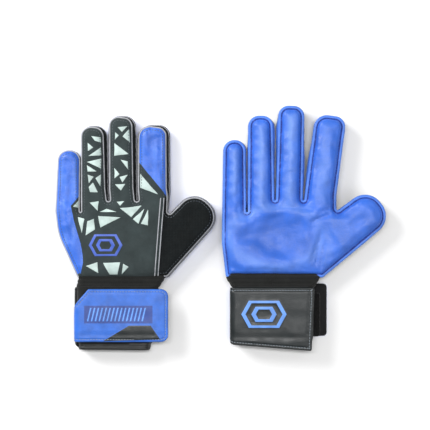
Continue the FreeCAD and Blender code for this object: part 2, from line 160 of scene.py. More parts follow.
def rounded(corners, step=STEP):
    """Points of a closed outline with its corners (x, y, radius, mark) rounded, and {mark: index}."""
    arcs, count = [], len(corners)
    for i, (x, y, radius, _) in enumerate(corners):
        here = np.array((x, y))
        a = unit(np.array(corners[i - 1][:2]) - here)
        b = unit(np.array(corners[(i + 1) % count][:2]) - here)
        half = math.acos(float(np.clip(a @ b, -1, 1))) / 2
        if radius <= 0 or half > 1.56:
            arcs.append([here])
            continue
        turn = math.pi - 2 * half
        parts = max(2, 2 * math.ceil(radius * turn / step / 2))
        centre = here + unit(a + b) * radius / math.sin(half)
        start = here + a * radius / math.tan(half) - centre
        end = here + b * radius / math.tan(half) - centre
        sign = 1 if start[0] * end[1] > start[1] * end[0] else -1
        arc = []
        for k in range(parts + 1):
            c, s = math.cos(sign * turn * k / parts), math.sin(sign * turn * k / parts)
            arc.append(centre + np.array((c * start[0] - s * start[1], s * start[0] + c * start[1])))
        arcs.append(arc)
    points, marks = [], {}
    for i, arc in enumerate(arcs):
        if corners[i][3]:
            marks[corners[i][3]] = len(points) + len(arc) // 2
        points.extend(arc)
        gap = arcs[(i + 1) % count][0] - arc[-1]
        parts = math.ceil(np.linalg.norm(gap) / step)
        points.extend(arc[-1] + gap * k / parts for k in range(1, parts))
    return np.array(points), marks


def inward(points):
    """Unit normals of a closed clockwise outline, into it."""
    along = np.roll(points, -1, 0) - points
    along /= np.linalg.norm(along, axis=1)[:, None]
    both = along + np.roll(along, 1, 0)
    both /= np.linalg.norm(both, axis=1)[:, None]
    return np.stack((both[:, 1], -both[:, 0]), 1)


def dense(line, step=STEP):
    """The line with points added so that none are more than step apart."""
    out = [np.asarray(line[0], float)]
    for point in line[1:]:
        gap = np.asarray(point, float) - out[-1]
        parts = max(1, math.ceil(np.linalg.norm(gap) / step))
        start = out[-1]
        out.extend(start + gap * k / parts for k in range(1, parts + 1))
    return np.array(out)


def eased(values, wide):
    """A moving average of values round a closed loop, over that many neighbours on each side."""
    around = np.concatenate((values[-wide:], values, values[:wide]))
    return np.convolve(around, np.full(2 * wide + 1, 1 / (2 * wide + 1)), "valid")


def distance(points, starts, ends):
    """Distance of every point to the nearest of the segments."""
    best = np.full(len(points), 1e9)
    for low in range(0, len(points), 1500):
        p = points[low:low + 1500, None, :]
        run = ends - starts
        t = ((p - starts) * run).sum(2) / np.maximum((run * run).sum(1), 1e-9)
        nearest = starts + np.clip(t, 0, 1)[:, :, None] * run
        best[low:low + 1500] = np.sqrt(((p - nearest) ** 2).sum(2)).min(1)
    return best


def line_distance(points, line):
    line = np.asarray(line, float)
    return distance(points, line[:-1], line[1:])


def inside(points, polygon):
    polygon = np.asarray(polygon, float)
    x, y = points[:, 0:1], points[:, 1:2]
    x0, y0 = polygon[:, 0], polygon[:, 1]
    x1, y1 = np.roll(x0, -1), np.roll(y0, -1)
    rise = np.where(y1 == y0, 1e-12, y1 - y0)
    crossed = ((y0 > y) != (y1 > y)) & (x < (x1 - x0) * (y - y0) / rise + x0)
    return crossed.sum(1) % 2 == 1


def shrunk(polygon, by):
    """A polygon moved inward at every side."""
    points = np.asarray(polygon, float)
    area = np.sum(points[:, 0] * np.roll(points[:, 1], -1) - np.roll(points[:, 0], -1) * points[:, 1])
    out = []
    for i, point in enumerate(points):
        a, b = unit(point - points[i - 1]), unit(points[(i + 1) % len(points)] - point)
        na, nb = np.array((-a[1], a[0])), np.array((-b[1], b[0]))
        out.append(point + (1 if area > 0 else -1) * by * (na + nb) / max(0.35, 1 + na @ nb))
    return np.array(out)


class Sheet:
    """Flat triangles over an outline, with edges along the given lines."""

    def __init__(self, outline, lines=(), depths=(), pitch=PITCH):
        points = [tuple(p) for p in outline]
        edges = [(i, (i + 1) % len(outline)) for i in range(len(outline))]
        lookup = {(round(p[0], 3), round(p[1], 3)): i for i, p in enumerate(points)}
        starts, ends = [], []
        for line in lines:
            line = dense(line)
            numbers = []
            for p in line:
                key = (round(p[0], 3), round(p[1], 3))
                if key not in lookup:
                    lookup[key] = len(points)
                    points.append(tuple(p))
                numbers.append(lookup[key])
            edges += list(zip(numbers[:-1], numbers[1:]))
            starts.append(line[:-1])
            ends.append(line[1:])
        loose = [outline + inward(outline) * d for d in depths]
        wanted = np.concatenate([np.full(len(outline), d) for d in depths]) if depths else np.zeros(0)
        low, high = outline.min(0), outline.max(0)
        grid = []
        for i, y in enumerate(np.arange(low[1], high[1], pitch * 0.866)):
            x = np.arange(low[0] + pitch / 2 * (i % 2), high[0], pitch)
            grid.append(np.column_stack((x, np.full(len(x), y))))
        grid = np.concatenate(grid)
        wanted = np.concatenate((wanted, np.full(len(grid), max(depths, default=0.0) + 0.8)))
        loose = np.concatenate([*loose, grid])
        loop_starts, loop_ends = outline, np.roll(outline, -1, 0)
        keep = inside(loose, outline)
        loose, wanted = loose[keep], wanted[keep]
        keep = distance(loose, loop_starts, loop_ends) >= 0.96 * wanted
        loose = loose[keep]
        if starts:
            loose = loose[distance(loose, np.concatenate(starts), np.concatenate(ends)) > CLOSEST]
        cells = set()
        for x, y in loose:
            near = (int(x // CLOSEST), int(y // CLOSEST))
            if near not in cells:
                cells.add(near)
                points.append((x, y))
        made = delaunay_2d_cdt([Vector(p) for p in points], edges, [], 0, 1e-5, False)
        flat = np.array([tuple(p) for p in made[0]])
        tris = np.array([f for f in made[2] if len(f) == 3])
        middles = flat[tris].mean(1)
        a, b, c = flat[tris[:, 0]], flat[tris[:, 1]], flat[tris[:, 2]]
        area = (b[:, 0] - a[:, 0]) * (c[:, 1] - a[:, 1]) - (c[:, 0] - a[:, 0]) * (b[:, 1] - a[:, 1])
        keep = inside(middles, outline) & (np.abs(area) > 1e-7)
        tris, area = tris[keep], area[keep]
        tris[area < 0] = tris[area < 0][:, ::-1]
        used = np.unique(tris)
        new = np.full(len(flat), -1)
        new[used] = np.arange(len(used))
        self.flat, self.tris = flat[used], new[tris]
        self.middles = self.flat[self.tris].mean(1)
        self.depth = distance(self.flat, loop_starts, loop_ends)
        self.depth[self.depth < 1e-3] = 0.0

    def doubled(self, values):
        """Values at the points of a slab, whose two faces share the rim."""
        return np.concatenate((values, values[self.depth > 0]))

    def slab(self, upper, lower, upper_stuff, lower_stuff, places=None):
        """A closed slab: (points, triangles, materials), whose rim is where the depth is 0."""
        count = len(self.flat)
        rim = self.depth == 0
        under = np.where(rim, np.arange(count), count + np.cumsum(~rim) - 1)
        places = self.flat if places is None else places
        top = np.column_stack((places, upper))
        bottom = np.column_stack((places, lower))[~rim]
        tris = np.concatenate((self.tris, under[self.tris][:, ::-1]))
        return np.concatenate((top, bottom)), tris, np.concatenate((upper_stuff, lower_stuff))


def shape_lines(shapes):
    """The lines that a sheet needs for shapes on it: their outlines, and the small slope at a raised edge."""
    lines = []
    for _, rise, line in shapes:
        lines.append(dense([*line, line[0]]))
        if rise:
            small = shrunk(line, EDGE_FOOT if rise > 0 else -EDGE_FOOT)
            lines.append(dense([*small, small[0]]))
    return lines


def emboss(sheet, heights, skin, shapes, grooves, way=1):
    """Raises the shapes, with their material in skin, and presses the grooves in.  Gives the new heights."""
    for stuff, rise, line in shapes:
        skin[inside(sheet.middles, line)] = stuff
        if rise:
            raised = inside(sheet.flat, shrunk(line, EDGE_HEAD if rise > 0 else SUNK_HEAD))
            heights = heights + way * rise * raised
    for line, width, deep in grooves:
        heights = heights - way * deep * np.exp(-(line_distance(sheet.flat, line) / width) ** 2)
    return heights


def drape(sheet, heights, held_depth, pressure, frames=16, cap=1.3):
    """Blender's cloth run on one face of a sheet that is held at its seams: (flat places, heights) after it.

    The cloth is a little larger than its place, so that it crowns and wrinkles.  No point moves more than
    cap mm.
    """
    scene = bpy.context.scene
    start = np.column_stack((sheet.flat, heights)) * MM
    mesh = bpy.data.meshes.new("cloth")
    mesh.from_pydata(start.tolist(), [], sheet.tris.tolist())
    ob = bpy.data.objects.new("cloth", mesh)
    scene.collection.objects.link(ob)
    held = ob.vertex_groups.new(name="held")
    held.add(np.flatnonzero(sheet.depth < held_depth).tolist(), 1.0, "REPLACE")
    cloth = ob.modifiers.new("cloth", "CLOTH")
    cloth.point_cache.frame_end = frames
    settings = cloth.settings
    settings.quality = 5
    settings.mass = 0.2
    settings.tension_stiffness = settings.compression_stiffness = 18
    settings.shear_stiffness = 8
    settings.bending_stiffness = 2.0
    settings.air_damping = 3
    settings.vertex_group_mass = "held"
    settings.shrink_min = -0.05
    settings.effector_weights.gravity = 0
    settings.use_pressure = True
    settings.uniform_pressure_force = pressure
    cloth.collision_settings.use_collision = False
    for number in range(1, frames + 1):
        scene.frame_set(number)
    moved = np.zeros(len(start) * 3)
    ob.evaluated_get(bpy.context.evaluated_depsgraph_get()).data.vertices.foreach_get("co", moved)
    step = (moved.reshape(-1, 3) - start) / MM
    bpy.data.objects.remove(ob)
    bpy.data.meshes.remove(mesh)
    scene.frame_set(1)
    ends = np.concatenate((sheet.tris[:, :2], sheet.tris[:, 1:], sheet.tris[:, ::2]))
    for _ in range(3):
        total, count = step.copy(), np.ones(len(step))
        for a, b in ((0, 1), (1, 0)):
            np.add.at(total, ends[:, a], step[ends[:, b]])
            np.add.at(count, ends[:, a], 1)
        step = total / count[:, None]
        step[sheet.depth < held_depth] = 0
    far = np.linalg.norm(step, axis=1)
    step *= (np.minimum(far, cap) / np.maximum(far, 1e-9))[:, None]
    print(f"cloth: {len(step)} points moved, mean {far.mean():.3f}, most {far.max():.3f}")
    return sheet.flat + step[:, :2], heights + step[:, 2]


# --------------------------------------------------------------------------------------------- pieces of mesh
def normals_of(co, faces):
    """Area-weighted vertex normals of triangles or quads."""
    if faces.shape[1] == 4:
        face = np.cross(co[faces[:, 2]] - co[faces[:, 0]], co[faces[:, 3]] - co[faces[:, 1]])
    else:
        face = np.cross(co[faces[:, 1]] - co[faces[:, 0]], co[faces[:, 2]] - co[faces[:, 0]])
    total = np.zeros_like(co)
    for corner in faces.T:
        np.add.at(total, corner, face)
    return total / np.maximum(np.linalg.norm(total, axis=1), 1e-12)[:, None]


class Piece:
    """Collects chunks of mesh that become one object."""

    def __init__(self, glove, name, slot):
        self.glove, self.name, self.slot = glove, name, slot
        self.co, self.no, self.uv, self.faces, self.stuff, self.count = [], [], [], [], [], 0
        # the painted highlight and painted shade of the points
        self.rub = []

    def add(self, co, faces, stuff, uv=None, no=None, rub=None):
        """Adds a chunk.  stuff is a material's name, or one name per face.  The last argument is the painted
        highlight (above 0) or painted shade (below 0) of each point.
        """
        if len(faces) == 0:
            return
        no = normals_of(co, faces) if no is None else no
        used = np.unique(faces)
        new = np.full(len(co), -1)
        new[used] = np.arange(len(used))
        self.co.append(co[used])
        self.no.append(no[used])
        self.uv.append((co[:, :2] if uv is None else uv)[used])
        self.rub.append((np.zeros(len(co)) if rub is None else rub)[used])
        self.faces.append(new[faces] + self.count)
        self.stuff += [stuff] * len(faces) if isinstance(stuff, str) else list(stuff)
        self.count += len(used)

    def build(self):
        co, no = self.glove.world(np.concatenate(self.co)), np.concatenate(self.no)
        uv = np.concatenate(self.uv) / UV_UNIT
        faces = [tuple(f) for chunk in self.faces for f in chunk.tolist()]
        if self.glove.flip:
            faces = [f[::-1] for f in faces]
            no = no * (1, 1, -1)
        mesh = bpy.data.meshes.new(self.name)
        mesh.from_pydata(co.tolist(), [], faces)
        names = sorted(set(self.stuff))
        for name in names:
            mesh.materials.append(material(name))
        numbers = {name: i for i, name in enumerate(names)}
        mesh.polygons.foreach_set("material_index", [numbers[s] for s in self.stuff])
        mesh.polygons.foreach_set("use_smooth", [True] * len(faces))
        corner = np.zeros(len(mesh.loops), int)
        mesh.loops.foreach_get("vertex_index", corner)
        layer = mesh.uv_layers.new(name="pattern")
        layer.data.foreach_set("uv", uv[corner].ravel())
        # each point's painted highlight (above 0) or painted shade (below 0), which the latex reads
        light_paint = mesh.attributes.new("rub", "FLOAT", "POINT")
        light_paint.data.foreach_set("value", np.concatenate(self.rub))
        mesh.update()
        mesh.normals_split_custom_set_from_vertices(no.tolist())
        ob = bpy.data.objects.new(self.name, mesh)
        bpy.context.scene.collection.objects.link(ob)
        return ob


def strip_faces(rows, columns, closed):
    """Quads of a grid of points with that many rows, each closed or open."""
    last = columns if closed else columns - 1
    r, c = np.meshgrid(np.arange(rows - 1), np.arange(last), indexing="ij")
    r, c = r.ravel(), c.ravel()
    after, here, above = (c + 1) % columns, r * columns, (r + 1) * columns
    return np.stack((here + c, here + after, above + after, above + c), 1)


def loft(rings, closed=True):
    """Points, quads and UVs in mm of rings of equally many points."""
    rings = np.asarray(rings)
    rows, columns = rings.shape[:2]
    along = np.concatenate(([0], np.cumsum(np.linalg.norm(np.diff(rings, axis=0), axis=2).mean(1))))
    ring = rings[rows // 2]
    across = np.concatenate(([0], np.cumsum(np.linalg.norm(np.diff(ring, axis=0), axis=1))))
    uv = np.stack(np.meshgrid(across, along), 2).reshape(-1, 2)
    return rings.reshape(-1, 3), strip_faces(rows, columns, closed), uv


def tube(path, radius, sides=8, ends=True):
    """A round cord along an open path, with closed ends."""
    path = np.asarray(path, float)
    along = np.gradient(path, axis=0)
    along /= np.linalg.norm(along, axis=1)[:, None]
    up = np.array((0.0, 0.0, 1.0))
    side = np.cross(along, up)
    side /= np.maximum(np.linalg.norm(side, axis=1), 1e-6)[:, None]
    top = np.cross(side, along)
    angle = np.arange(sides) * 2 * math.pi / sides
    radius = np.full(len(path), float(radius))
    if ends:
        path = np.concatenate((path[:1], path, path[-1:]))
        side, top = (np.concatenate((v[:1], v, v[-1:])) for v in (side, top))
        radius = np.concatenate(([radius[0] * 0.05], radius, [radius[-1] * 0.05]))
    rings = path[:, None] + radius[:, None, None] * (
        np.cos(angle)[:, None] * side[:, None] + np.sin(angle)[:, None] * top[:, None]
    )
    co, faces, uv = loft(rings)
    return co, faces[:, ::-1], uv


def stitches(path, up, length=2.2, radius=0.34, every=3.1):
    """Small thread capsules laid along the path, an equal distance apart."""
    path = np.asarray(path, float)
    runs = np.concatenate(([0], np.cumsum(np.linalg.norm(np.diff(path, axis=0), axis=1))))
    count = int(runs[-1] // every)
    if count < 1:
        return np.zeros((0, 3)), np.zeros((0, 4), int)
    at = (np.arange(count) + 0.5) * runs[-1] / count
    centre = np.stack([np.interp(at, runs, path[:, k]) for k in range(3)], 1)
    ahead = np.stack([np.interp(at + 0.8, runs, path[:, k]) - np.interp(at - 0.8, runs, path[:, k])
                      for k in range(3)], 1)
    ahead /= np.maximum(np.linalg.norm(ahead, axis=1), 1e-6)[:, None]
    up = np.broadcast_to(np.asarray(up, float), centre.shape)
    side = np.cross(ahead, up)
    side /= np.maximum(np.linalg.norm(side, axis=1), 1e-6)[:, None]
    places = np.array((-1.0, -0.8, 0.0, 0.8, 1.0)) * length / 2
    widths = np.array((0.1, 0.8, 1.0, 0.8, 0.1)) * radius
    angle = np.arange(6) * math.pi / 3
    ring = (np.cos(angle)[:, None], np.sin(angle)[:, None])
    co = []
    for place, width in zip(places, widths):
        middle = centre + ahead * place + up * (0.12 - 0.16 * abs(place))
        co.append(middle[:, None] + width * (ring[0] * side[:, None] + ring[1] * up[:, None]))
    co = np.stack(co, 1).reshape(-1, 3)
    one = strip_faces(len(places), len(angle), True)
    faces = (one[None] + (np.arange(count) * len(places) * len(angle))[:, None, None]).reshape(-1, 4)
    return co, faces[:, ::-1]


def rounded_box(half_x, half_z, radius, count):
    """Points round a rounded rectangle, an equal distance apart, from +x anticlockwise seen from -y."""
    corners = []
    for sx, sz, start in ((1, 1, 0), (-1, 1, 1), (-1, -1, 2), (1, -1, 3)):
        for k in range(9):
            angle = (start + k / 8) * math.pi / 2
            x, z = radius * math.cos(angle), radius * math.sin(angle)
            corners.append((sx * (half_x - radius) + x, sz * (half_z - radius) + z))
    corners.append(corners[0])
    line = np.array(corners)
    runs = np.concatenate(([0], np.cumsum(np.linalg.norm(np.diff(line, axis=0), axis=1))))
    at = np.arange(count) * runs[-1] / count
    return np.stack([np.interp(at, runs, line[:, k]) for k in range(2)], 1)


# --------------------------------------------------------------------------------------------- material nodes
class Stuff:
    """Builds one node material in pattern millimetres."""

    def __init__(self, name, **values):
        self.material = bpy.data.materials.new(name)
        self.material.use_nodes = True
        self.tree = self.material.node_tree
        self.shader = self.tree.nodes["Principled BSDF"]
        for key, value in values.items():
            self.shader.inputs[key.replace("_", " ")].default_value = value
        uv = self.node("ShaderNodeUVMap", uv_map="pattern")
        self.mm = self.node("ShaderNodeVectorMath", {0: uv.outputs[0], 1: (UV_UNIT,) * 3},
                            operation="MULTIPLY").outputs[0]

    def node(self, kind, sockets=None, **settings):
        node = self.tree.nodes.new(kind)
        for key, value in settings.items():
            setattr(node, key, value)
        for key, value in (sockets or {}).items():
            if isinstance(value, bpy.types.NodeSocket):
                self.tree.links.new(value, node.inputs[key])
            else:
                node.inputs[key].default_value = value
        return node

    def noise(self, size, detail=3.0):
        sockets = {"Vector": self.mm, "Scale": 1 / size, "Detail": detail, "Roughness": 0.55}
        return self.node("ShaderNodeTexNoise", sockets).outputs["Fac"]

    def cells(self, size, random=1.0, feature="F1"):
        sockets = {"Vector": self.mm, "Scale": 1 / size, "Randomness": random}
        return self.node("ShaderNodeTexVoronoi", sockets, feature=feature).outputs["Distance"]

    def wave(self, length, direction):
        sockets = {"Vector": self.mm, "Scale": 0.314 / length, "Distortion": 0.6, "Detail": 1.0}
        return self.node("ShaderNodeTexWave", sockets, bands_direction=direction).outputs["Fac"]

    def math(self, operation, a, b):
        return self.node("ShaderNodeMath", {0: a, 1: b}, operation=operation).outputs[0]

    def span(self, value, low, high, to_low, to_high):
        """value mapped from low-high to to_low-to_high, and kept inside."""
        sockets = {0: value, 1: low, 2: high, 3: to_low, 4: to_high}
        return self.node("ShaderNodeMapRange", sockets).outputs[0]

    def vary(self, field, low, high):
        """The middle part of a noise field, spread from low to high."""
        return self.span(field, 0.3, 0.7, low, high)

    def blend(self, share, a, b):
        mix = self.node("ShaderNodeMix", {0: share, 6: a, 7: b}, data_type="RGBA")
        return mix.outputs[2]

    def mottle(self, field, dark, light):
        return self.blend(self.vary(field, 0.0, 1.0), dark, light)

    def finish(self, colour, rough, heights):
        """heights are (field, depth in mm), added up into one bump."""
        self.tree.links.new(colour, self.shader.inputs["Base Color"])
        self.tree.links.new(rough, self.shader.inputs["Roughness"])
        total = None
        for field, depth in heights:
            part = self.math("MULTIPLY", field, depth)
            total = part if total is None else self.math("ADD", total, part)
        bump = self.node("ShaderNodeBump", {"Height": total, "Distance": MM, "Strength": 1.0})
        self.tree.links.new(bump.outputs[0], self.shader.inputs["Normal"])
        return self.material


def srgb(r, g, b, gain=1.0):
    """Linear colour of an 8-bit sRGB one."""
    return tuple(min(1.0, gain * (((c / 255 + 0.055) / 1.055) ** 2.4 if c > 10 else c / 255 / 12.92))
                 for c in (r, g, b)) + (1.0,)


HIGHLIGHT_BLUE = (0.21, 0.36, 0.78, 1.0)      # linear: the pale blue of the painted highlight on the latex


def latex(name, colour, rough=0.4, pores=1.0):
    """Foam latex: soft mottling, fine pores and a slight skin, with painted highlight and painted shade from
    each point's painted-light value.
    """
    s = Stuff(name, Specular_IOR_Level=0.5, Sheen_Weight=0.06, Sheen_Roughness=0.4)
    tone = s.mottle(s.noise(26, 4), srgb(*colour, 0.8), srgb(*colour, 1.2))
    tone = s.blend(s.span(s.noise(1.3, 2), 0.45, 0.75, 0.0, 0.3), tone, srgb(*colour, 1.45))
    # each point's painted light, from the mesh: painted highlight above 0, painted shade below 0
    rub = s.node("ShaderNodeAttribute", attribute_name="rub").outputs["Fac"]
    light_paint = s.math("MULTIPLY", rub, s.vary(s.noise(12, 3), 0.7, 1.0))
    # painted highlight: paler blue where that value is above 0
    tone = s.blend(s.span(light_paint, 0.0, 1.0, 0.0, 0.6), tone, HIGHLIGHT_BLUE)
    # painted shade: darker latex where that value is below 0
    tone = s.blend(s.span(rub, -0.6, 0.0, 0.6, 0.0), tone, srgb(*colour, 0.6))
    roughness = s.vary(s.noise(9, 3), rough - 0.07, rough + 0.08)
    heights = [(s.cells(0.95), 0.10 * pores), (s.noise(6, 3), 0.34), (s.noise(0.6, 2), 0.06)]
    return s.finish(tone, roughness, heights)


def knit(name, colour, size=0.9, depth=0.16, rough=0.78, sheen=0.1, spread=0.75):
    """Fine knitted or woven cloth."""
    s = Stuff(name, Specular_IOR_Level=0.25, Sheen_Weight=sheen, Sheen_Roughness=0.5)
    weave = s.math("MULTIPLY", s.wave(size, "X"), s.wave(size * 0.8, "Y"))
    tone = s.mottle(s.noise(18, 4), srgb(*colour, spread), srgb(*colour, 1.25))
    tone = s.blend(s.span(weave, 0.1, 0.8, 0.35, 0.0), tone, srgb(*colour, 0.45))
    roughness = s.vary(s.noise(7), rough - 0.06, rough + 0.08)
    return s.finish(tone, roughness, [(weave, depth), (s.noise(7, 3), 0.45)])


def air_mesh(name, colour):
    """Spacer mesh with rows of small holes."""
    s = Stuff(name, Specular_IOR_Level=0.2, Sheen_Weight=0.04, Sheen_Roughness=0.5)
    hole = s.span(s.cells(1.7, 0.15), 0.18, 0.42, 0.0, 1.0)
    tone = s.mottle(s.noise(20, 4), srgb(*colour, 0.7), srgb(*colour, 1.3))
    tone = s.blend(hole, srgb(*colour, 0.25), tone)
    roughness = s.vary(s.noise(6), 0.68, 0.84)
    return s.finish(tone, roughness, [(hole, 0.35), (s.wave(0.7, "X"), 0.05), (s.noise(8, 3), 0.6)])


def coated(name, colour, rough=0.3, grain=0.12, size=1.1, coat=0.04, shine=0.5):
    """Smooth synthetic leather or rubber with a fine grain."""
    s = Stuff(name, Specular_IOR_Level=shine, Coat_Weight=coat, Coat_Roughness=0.25)
    tone = s.mottle(s.noise(16, 5), srgb(*colour, 0.78), srgb(*colour, 1.2))
    crease = s.span(s.cells(size, 1.0, "DISTANCE_TO_EDGE"), 0.0, 0.12, 0.15, 0.0)
    tone = s.blend(crease, tone, srgb(*colour, 0.5))
    roughness = s.vary(s.noise(10, 4), rough - 0.06, rough + 0.12)
    return s.finish(tone, roughness, [(s.cells(size), grain), (s.noise(24, 1), 1.1), (s.noise(0.5, 2), 0.02)])


def pile(name, colour, size, depth):
    """Loops or hooks standing close together."""
    s = Stuff(name, Specular_IOR_Level=0.2, Sheen_Weight=0.3, Sheen_Roughness=0.5)
    bristle = s.cells(size, 0.7)
    tone = s.blend(s.span(bristle, 0.1, 0.6, 0.0, 1.0), srgb(*colour, 1.5), srgb(*colour, 0.4))
    roughness = s.vary(s.noise(3), 0.8, 0.95)
    return s.finish(tone, roughness, [(bristle, -depth), (s.noise(2, 4), 0.3)])


RECIPES = {
    "latex_blue": lambda n: latex(n, (44, 97, 198)),
    "latex_edge": lambda n: latex(n, (66, 116, 210), 0.48, 0.6),
    # a darker copy of the latex: painted shade in the palm's seam groove
    "latex_deep": lambda n: latex(n, (34, 62, 156), 0.6, 0.4),
    "knit_charcoal": lambda n: knit(n, (51, 61, 62)),
    "lining_black": lambda n: knit(n, (24, 25, 27), 1.4, 0.12),
    "mesh_black": lambda n: air_mesh(n, (18, 23, 25)),
    "thumb_black": lambda n: air_mesh(n, (9, 16, 18)),
    "elastic_black": lambda n: knit(n, (24, 25, 24), 0.7, 0.2),
    "cuff_black": lambda n: knit(n, (26, 28, 28), 1.1, 0.2),
    "strap_blue": lambda n: coated(n, (40, 99, 194), 0.44, 0.06, 1.4),
    "strap_navy": lambda n: coated(n, (38, 66, 140), 0.42, 0.08),
    "strap_black": lambda n: coated(n, (20, 27, 29), 0.36, 0.04, shine=0.42),
    "print_white": lambda n: coated(n, (180, 198, 194), 0.5, 0.05, 0.8),
    "print_blue": lambda n: coated(n, (62, 92, 186), 0.45, 0.05, 0.8),
    "print_sky": lambda n: coated(n, (96, 148, 228), 0.45, 0.05, 0.8),
    "piping_grey": lambda n: knit(n, (176, 178, 184), 0.6, 0.1, 0.6),
    "thread_dark": lambda n: knit(n, (30, 52, 120), 0.5, 0.1, 0.6),
    "thread_black": lambda n: knit(n, (30, 31, 33), 0.5, 0.1, 0.6),
    "thread_grey": lambda n: knit(n, (84, 92, 98), 0.5, 0.1, 0.6),
    "thread_light": lambda n: knit(n, (150, 160, 170), 0.5, 0.1, 0.6),
    "binding_black": lambda n: coated(n, (20, 22, 22), 0.5, 0.1),
    "hook_black": lambda n: pile(n, (20, 20, 21), 1.1, 0.5),
    "loop_black": lambda n: pile(n, (28, 28, 30), 0.8, 0.35),
}
made_materials = {}


def material(name):
    if name not in made_materials:
        made_materials[name] = RECIPES[name](name)
    return made_materials[name]


# -------------------------------------------------------------------------------------------------- one glove
class Glove:
    """One glove, in its pattern.  Its methods build the pieces, and join some of them to their bodies."""

    # wrist: x of the wrist's two ends.  heel: where the thumb's edge meets the wrist.  side: the bulge of the
    # little finger's edge.  web: between index finger and thumb.  thumb: how far it turns, and its reach.
    # strap: how much longer, its rounding, its skew.  flare: the wrist's width past the wrist line.
    # cuff_skew: how askew the cuff ends.  cuff_slim: how much slimmer it ends, evenly and by x.
    # lean: of each fingertip to the thumb's side.
    LOOK = {
        "left": {
            "wrist": (-39.0, 48.5), "heel": (61.0, 3.5), "side": (-60.8, 52.0), "web": (60.6, 72.2),
            "thumb": (0.0, 26.7), "strap": (-1.2, 8.0, 0.0), "flare": 10.5, "cuff_skew": 0.8,
            "cuff_slim": (3.3, 0.133), "lean": {"little": 0.0, "ring": -2.5, "middle": -2.6, "index": -0.4},
        },
        "right": {
            "wrist": (-59.4, 45.0), "heel": (48.0, 3.5), "side": (-63.8, 42.0), "web": (63.3, 77.5),
            "thumb": (-2.0, 28.8), "strap": (2.6, 4.0, 5.5), "flare": 1.0, "cuff_skew": 7.0,
            "cuff_slim": (1.4, 0.03), "lean": {"little": 0.0, "ring": -0.8, "middle": 0.0, "index": 0.0},
        },
    }

    def __init__(self, side):
        self.side, self.flip, self.look = side, side == "right", self.LOOK[side]
        way = -1 if self.flip else 1
        spot = joints[f"{side}_middle_knuckle"]["pos_m"]
        self.origin = np.array((spot[0] / MM - KNUCKLE[0], spot[1] / MM - KNUCKLE[1]))
        self.local, self.length = {}, {}
        for finger in FINGERS:
            near, far = self.spot(f"{finger}_knuckle"), self.spot(f"{finger}_tip_bend")
            axis = joints[f"{side}_{finger}_knuckle"]["axis"]
            self.local[finger] = Local(near, (way * axis[1], -way * axis[0]))
            self.length[finger] = 2 * float(np.linalg.norm(far - near))
        axis = joints[f"{side}_thumb_tip_bend"]["axis"]
        self.local["thumb"] = Local(self.spot("thumb_tip_bend"), (way * axis[1], -way * axis[0]))
        axis = joints[f"{side}_thumb_base_bend"]["axis"]
        self.seam = Local(self.spot("thumb_base_bend"), (way * axis[0], way * axis[1]))
        low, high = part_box(f"{side}_cuff")
        self.cuff_x = (low.x + high.x) / 2 / MM - self.origin[0]
        self.fold_x = self.cuff_x - CUFF_HALF - 3.0
        self.draw_outline()

    def spot(self, joint):
        x, y, _ = joints[f"{self.side}_{joint}"]["pos_m"]
        return np.array((x / MM, y / MM)) - self.origin

    def world(self, co):
        """Glove points in mm to the row frame in metres."""
        out = np.array(co, float) + (*self.origin, 0.0)
        if self.flip:
            out[:, 2] = HEIGHT - out[:, 2]
        return out * MM

    def world_point(self, x, y, z=HEIGHT / 2):
        return tuple(self.world(np.array(((x, y, z),)))[0])

    # ---- the outline and its cuts
    def draw_outline(self):
        look = self.look
        (x0, x1), heel = look["wrist"], look["heel"]
        little, index, thumb = self.local["little"], self.local["index"], self.local["thumb"]
        corners = [(x0, 4.0, 3.0, "wrist_a"), (*look["side"], 70.0, None)]
        before = little.place(-HALVES["little"][0] - 0.3, -9.0)
        corners.append((*before, 0.0, "little_out"))
        for number, finger in enumerate(FINGERS):
            local, length, half = self.local[finger], self.length[finger], HALVES[finger][1]
            lean = look["lean"][finger]
            inner, outer = local.place(lean - half, length + 0.4), local.place(lean + half, length + 0.4)
            if number < 3:
                after = np.array(WEBS[number]) - (WEB_GAP / 2, 0)
            else:
                after = index.place(HALVES["index"][0], 0)
            cut = length / 4
            corners.append((*meet(before, inner, local, v=cut), 0.0, f"{finger}_a"))
            corners.append((*inner, TIP_ROUNDS[finger], None))
            corners.append((*outer, TIP_ROUND, None))
            corners.append((*meet(outer, after, local, v=cut), 0.0, f"{finger}_b"))
            if number < 3:
                before = np.array(WEBS[number]) + (WEB_GAP / 2, 0)
                corners.append((*after, WEB_GAP * 0.45, None))
                corners.append((*WEBS[number], 0.0, f"web{number + 1}"))
                corners.append((*before, WEB_GAP * 0.45, None))
        corners.append((*after, 30.0, None))
        web = np.array(look["web"])
        corners.append((*meet(after, web, index, v=-8.5), 0.0, "index_out"))
        shift, reach = look["thumb"]
        top, bottom = thumb.place(-22.3 + shift / 2, reach), thumb.place(22.6 + shift, reach)
        low = thumb.place(24.3 + shift, -8.0)
        corners.append((*web, 1.6, "web4"))
        corners.append((*meet(web, top, thumb, v=0.0), 0.0, "thumb_a"))
        corners.append((*top, 21.0, None))
        corners.append((*bottom, 21.0, None))
        corners.append((*meet(bottom, low, thumb, v=0.0), 0.0, "thumb_b"))
        corners.append((*low, 12.0, None))
        across = self.seam.uv(web + (0.9, -0.6))[0]
        if self.seam.uv(heel)[0] > across + 3:
            corners.append((*heel, 6.0, None))
            corners.append((*meet(heel, (x1, 4.0), self.seam, u=across), 0.0, "thumb_low"))
        else:
            corners.append((*meet(low, heel, self.seam, u=across), 0.0, "thumb_low"))
            corners.append((*heel, 4.0, None))
        corners.append((x1, 4.0, 0.0, "wrist_b"))
        self.outline, self.marks = rounded(corners)
        self.inward = inward(self.outline)
        self.back_inset = self.inset_of_back()

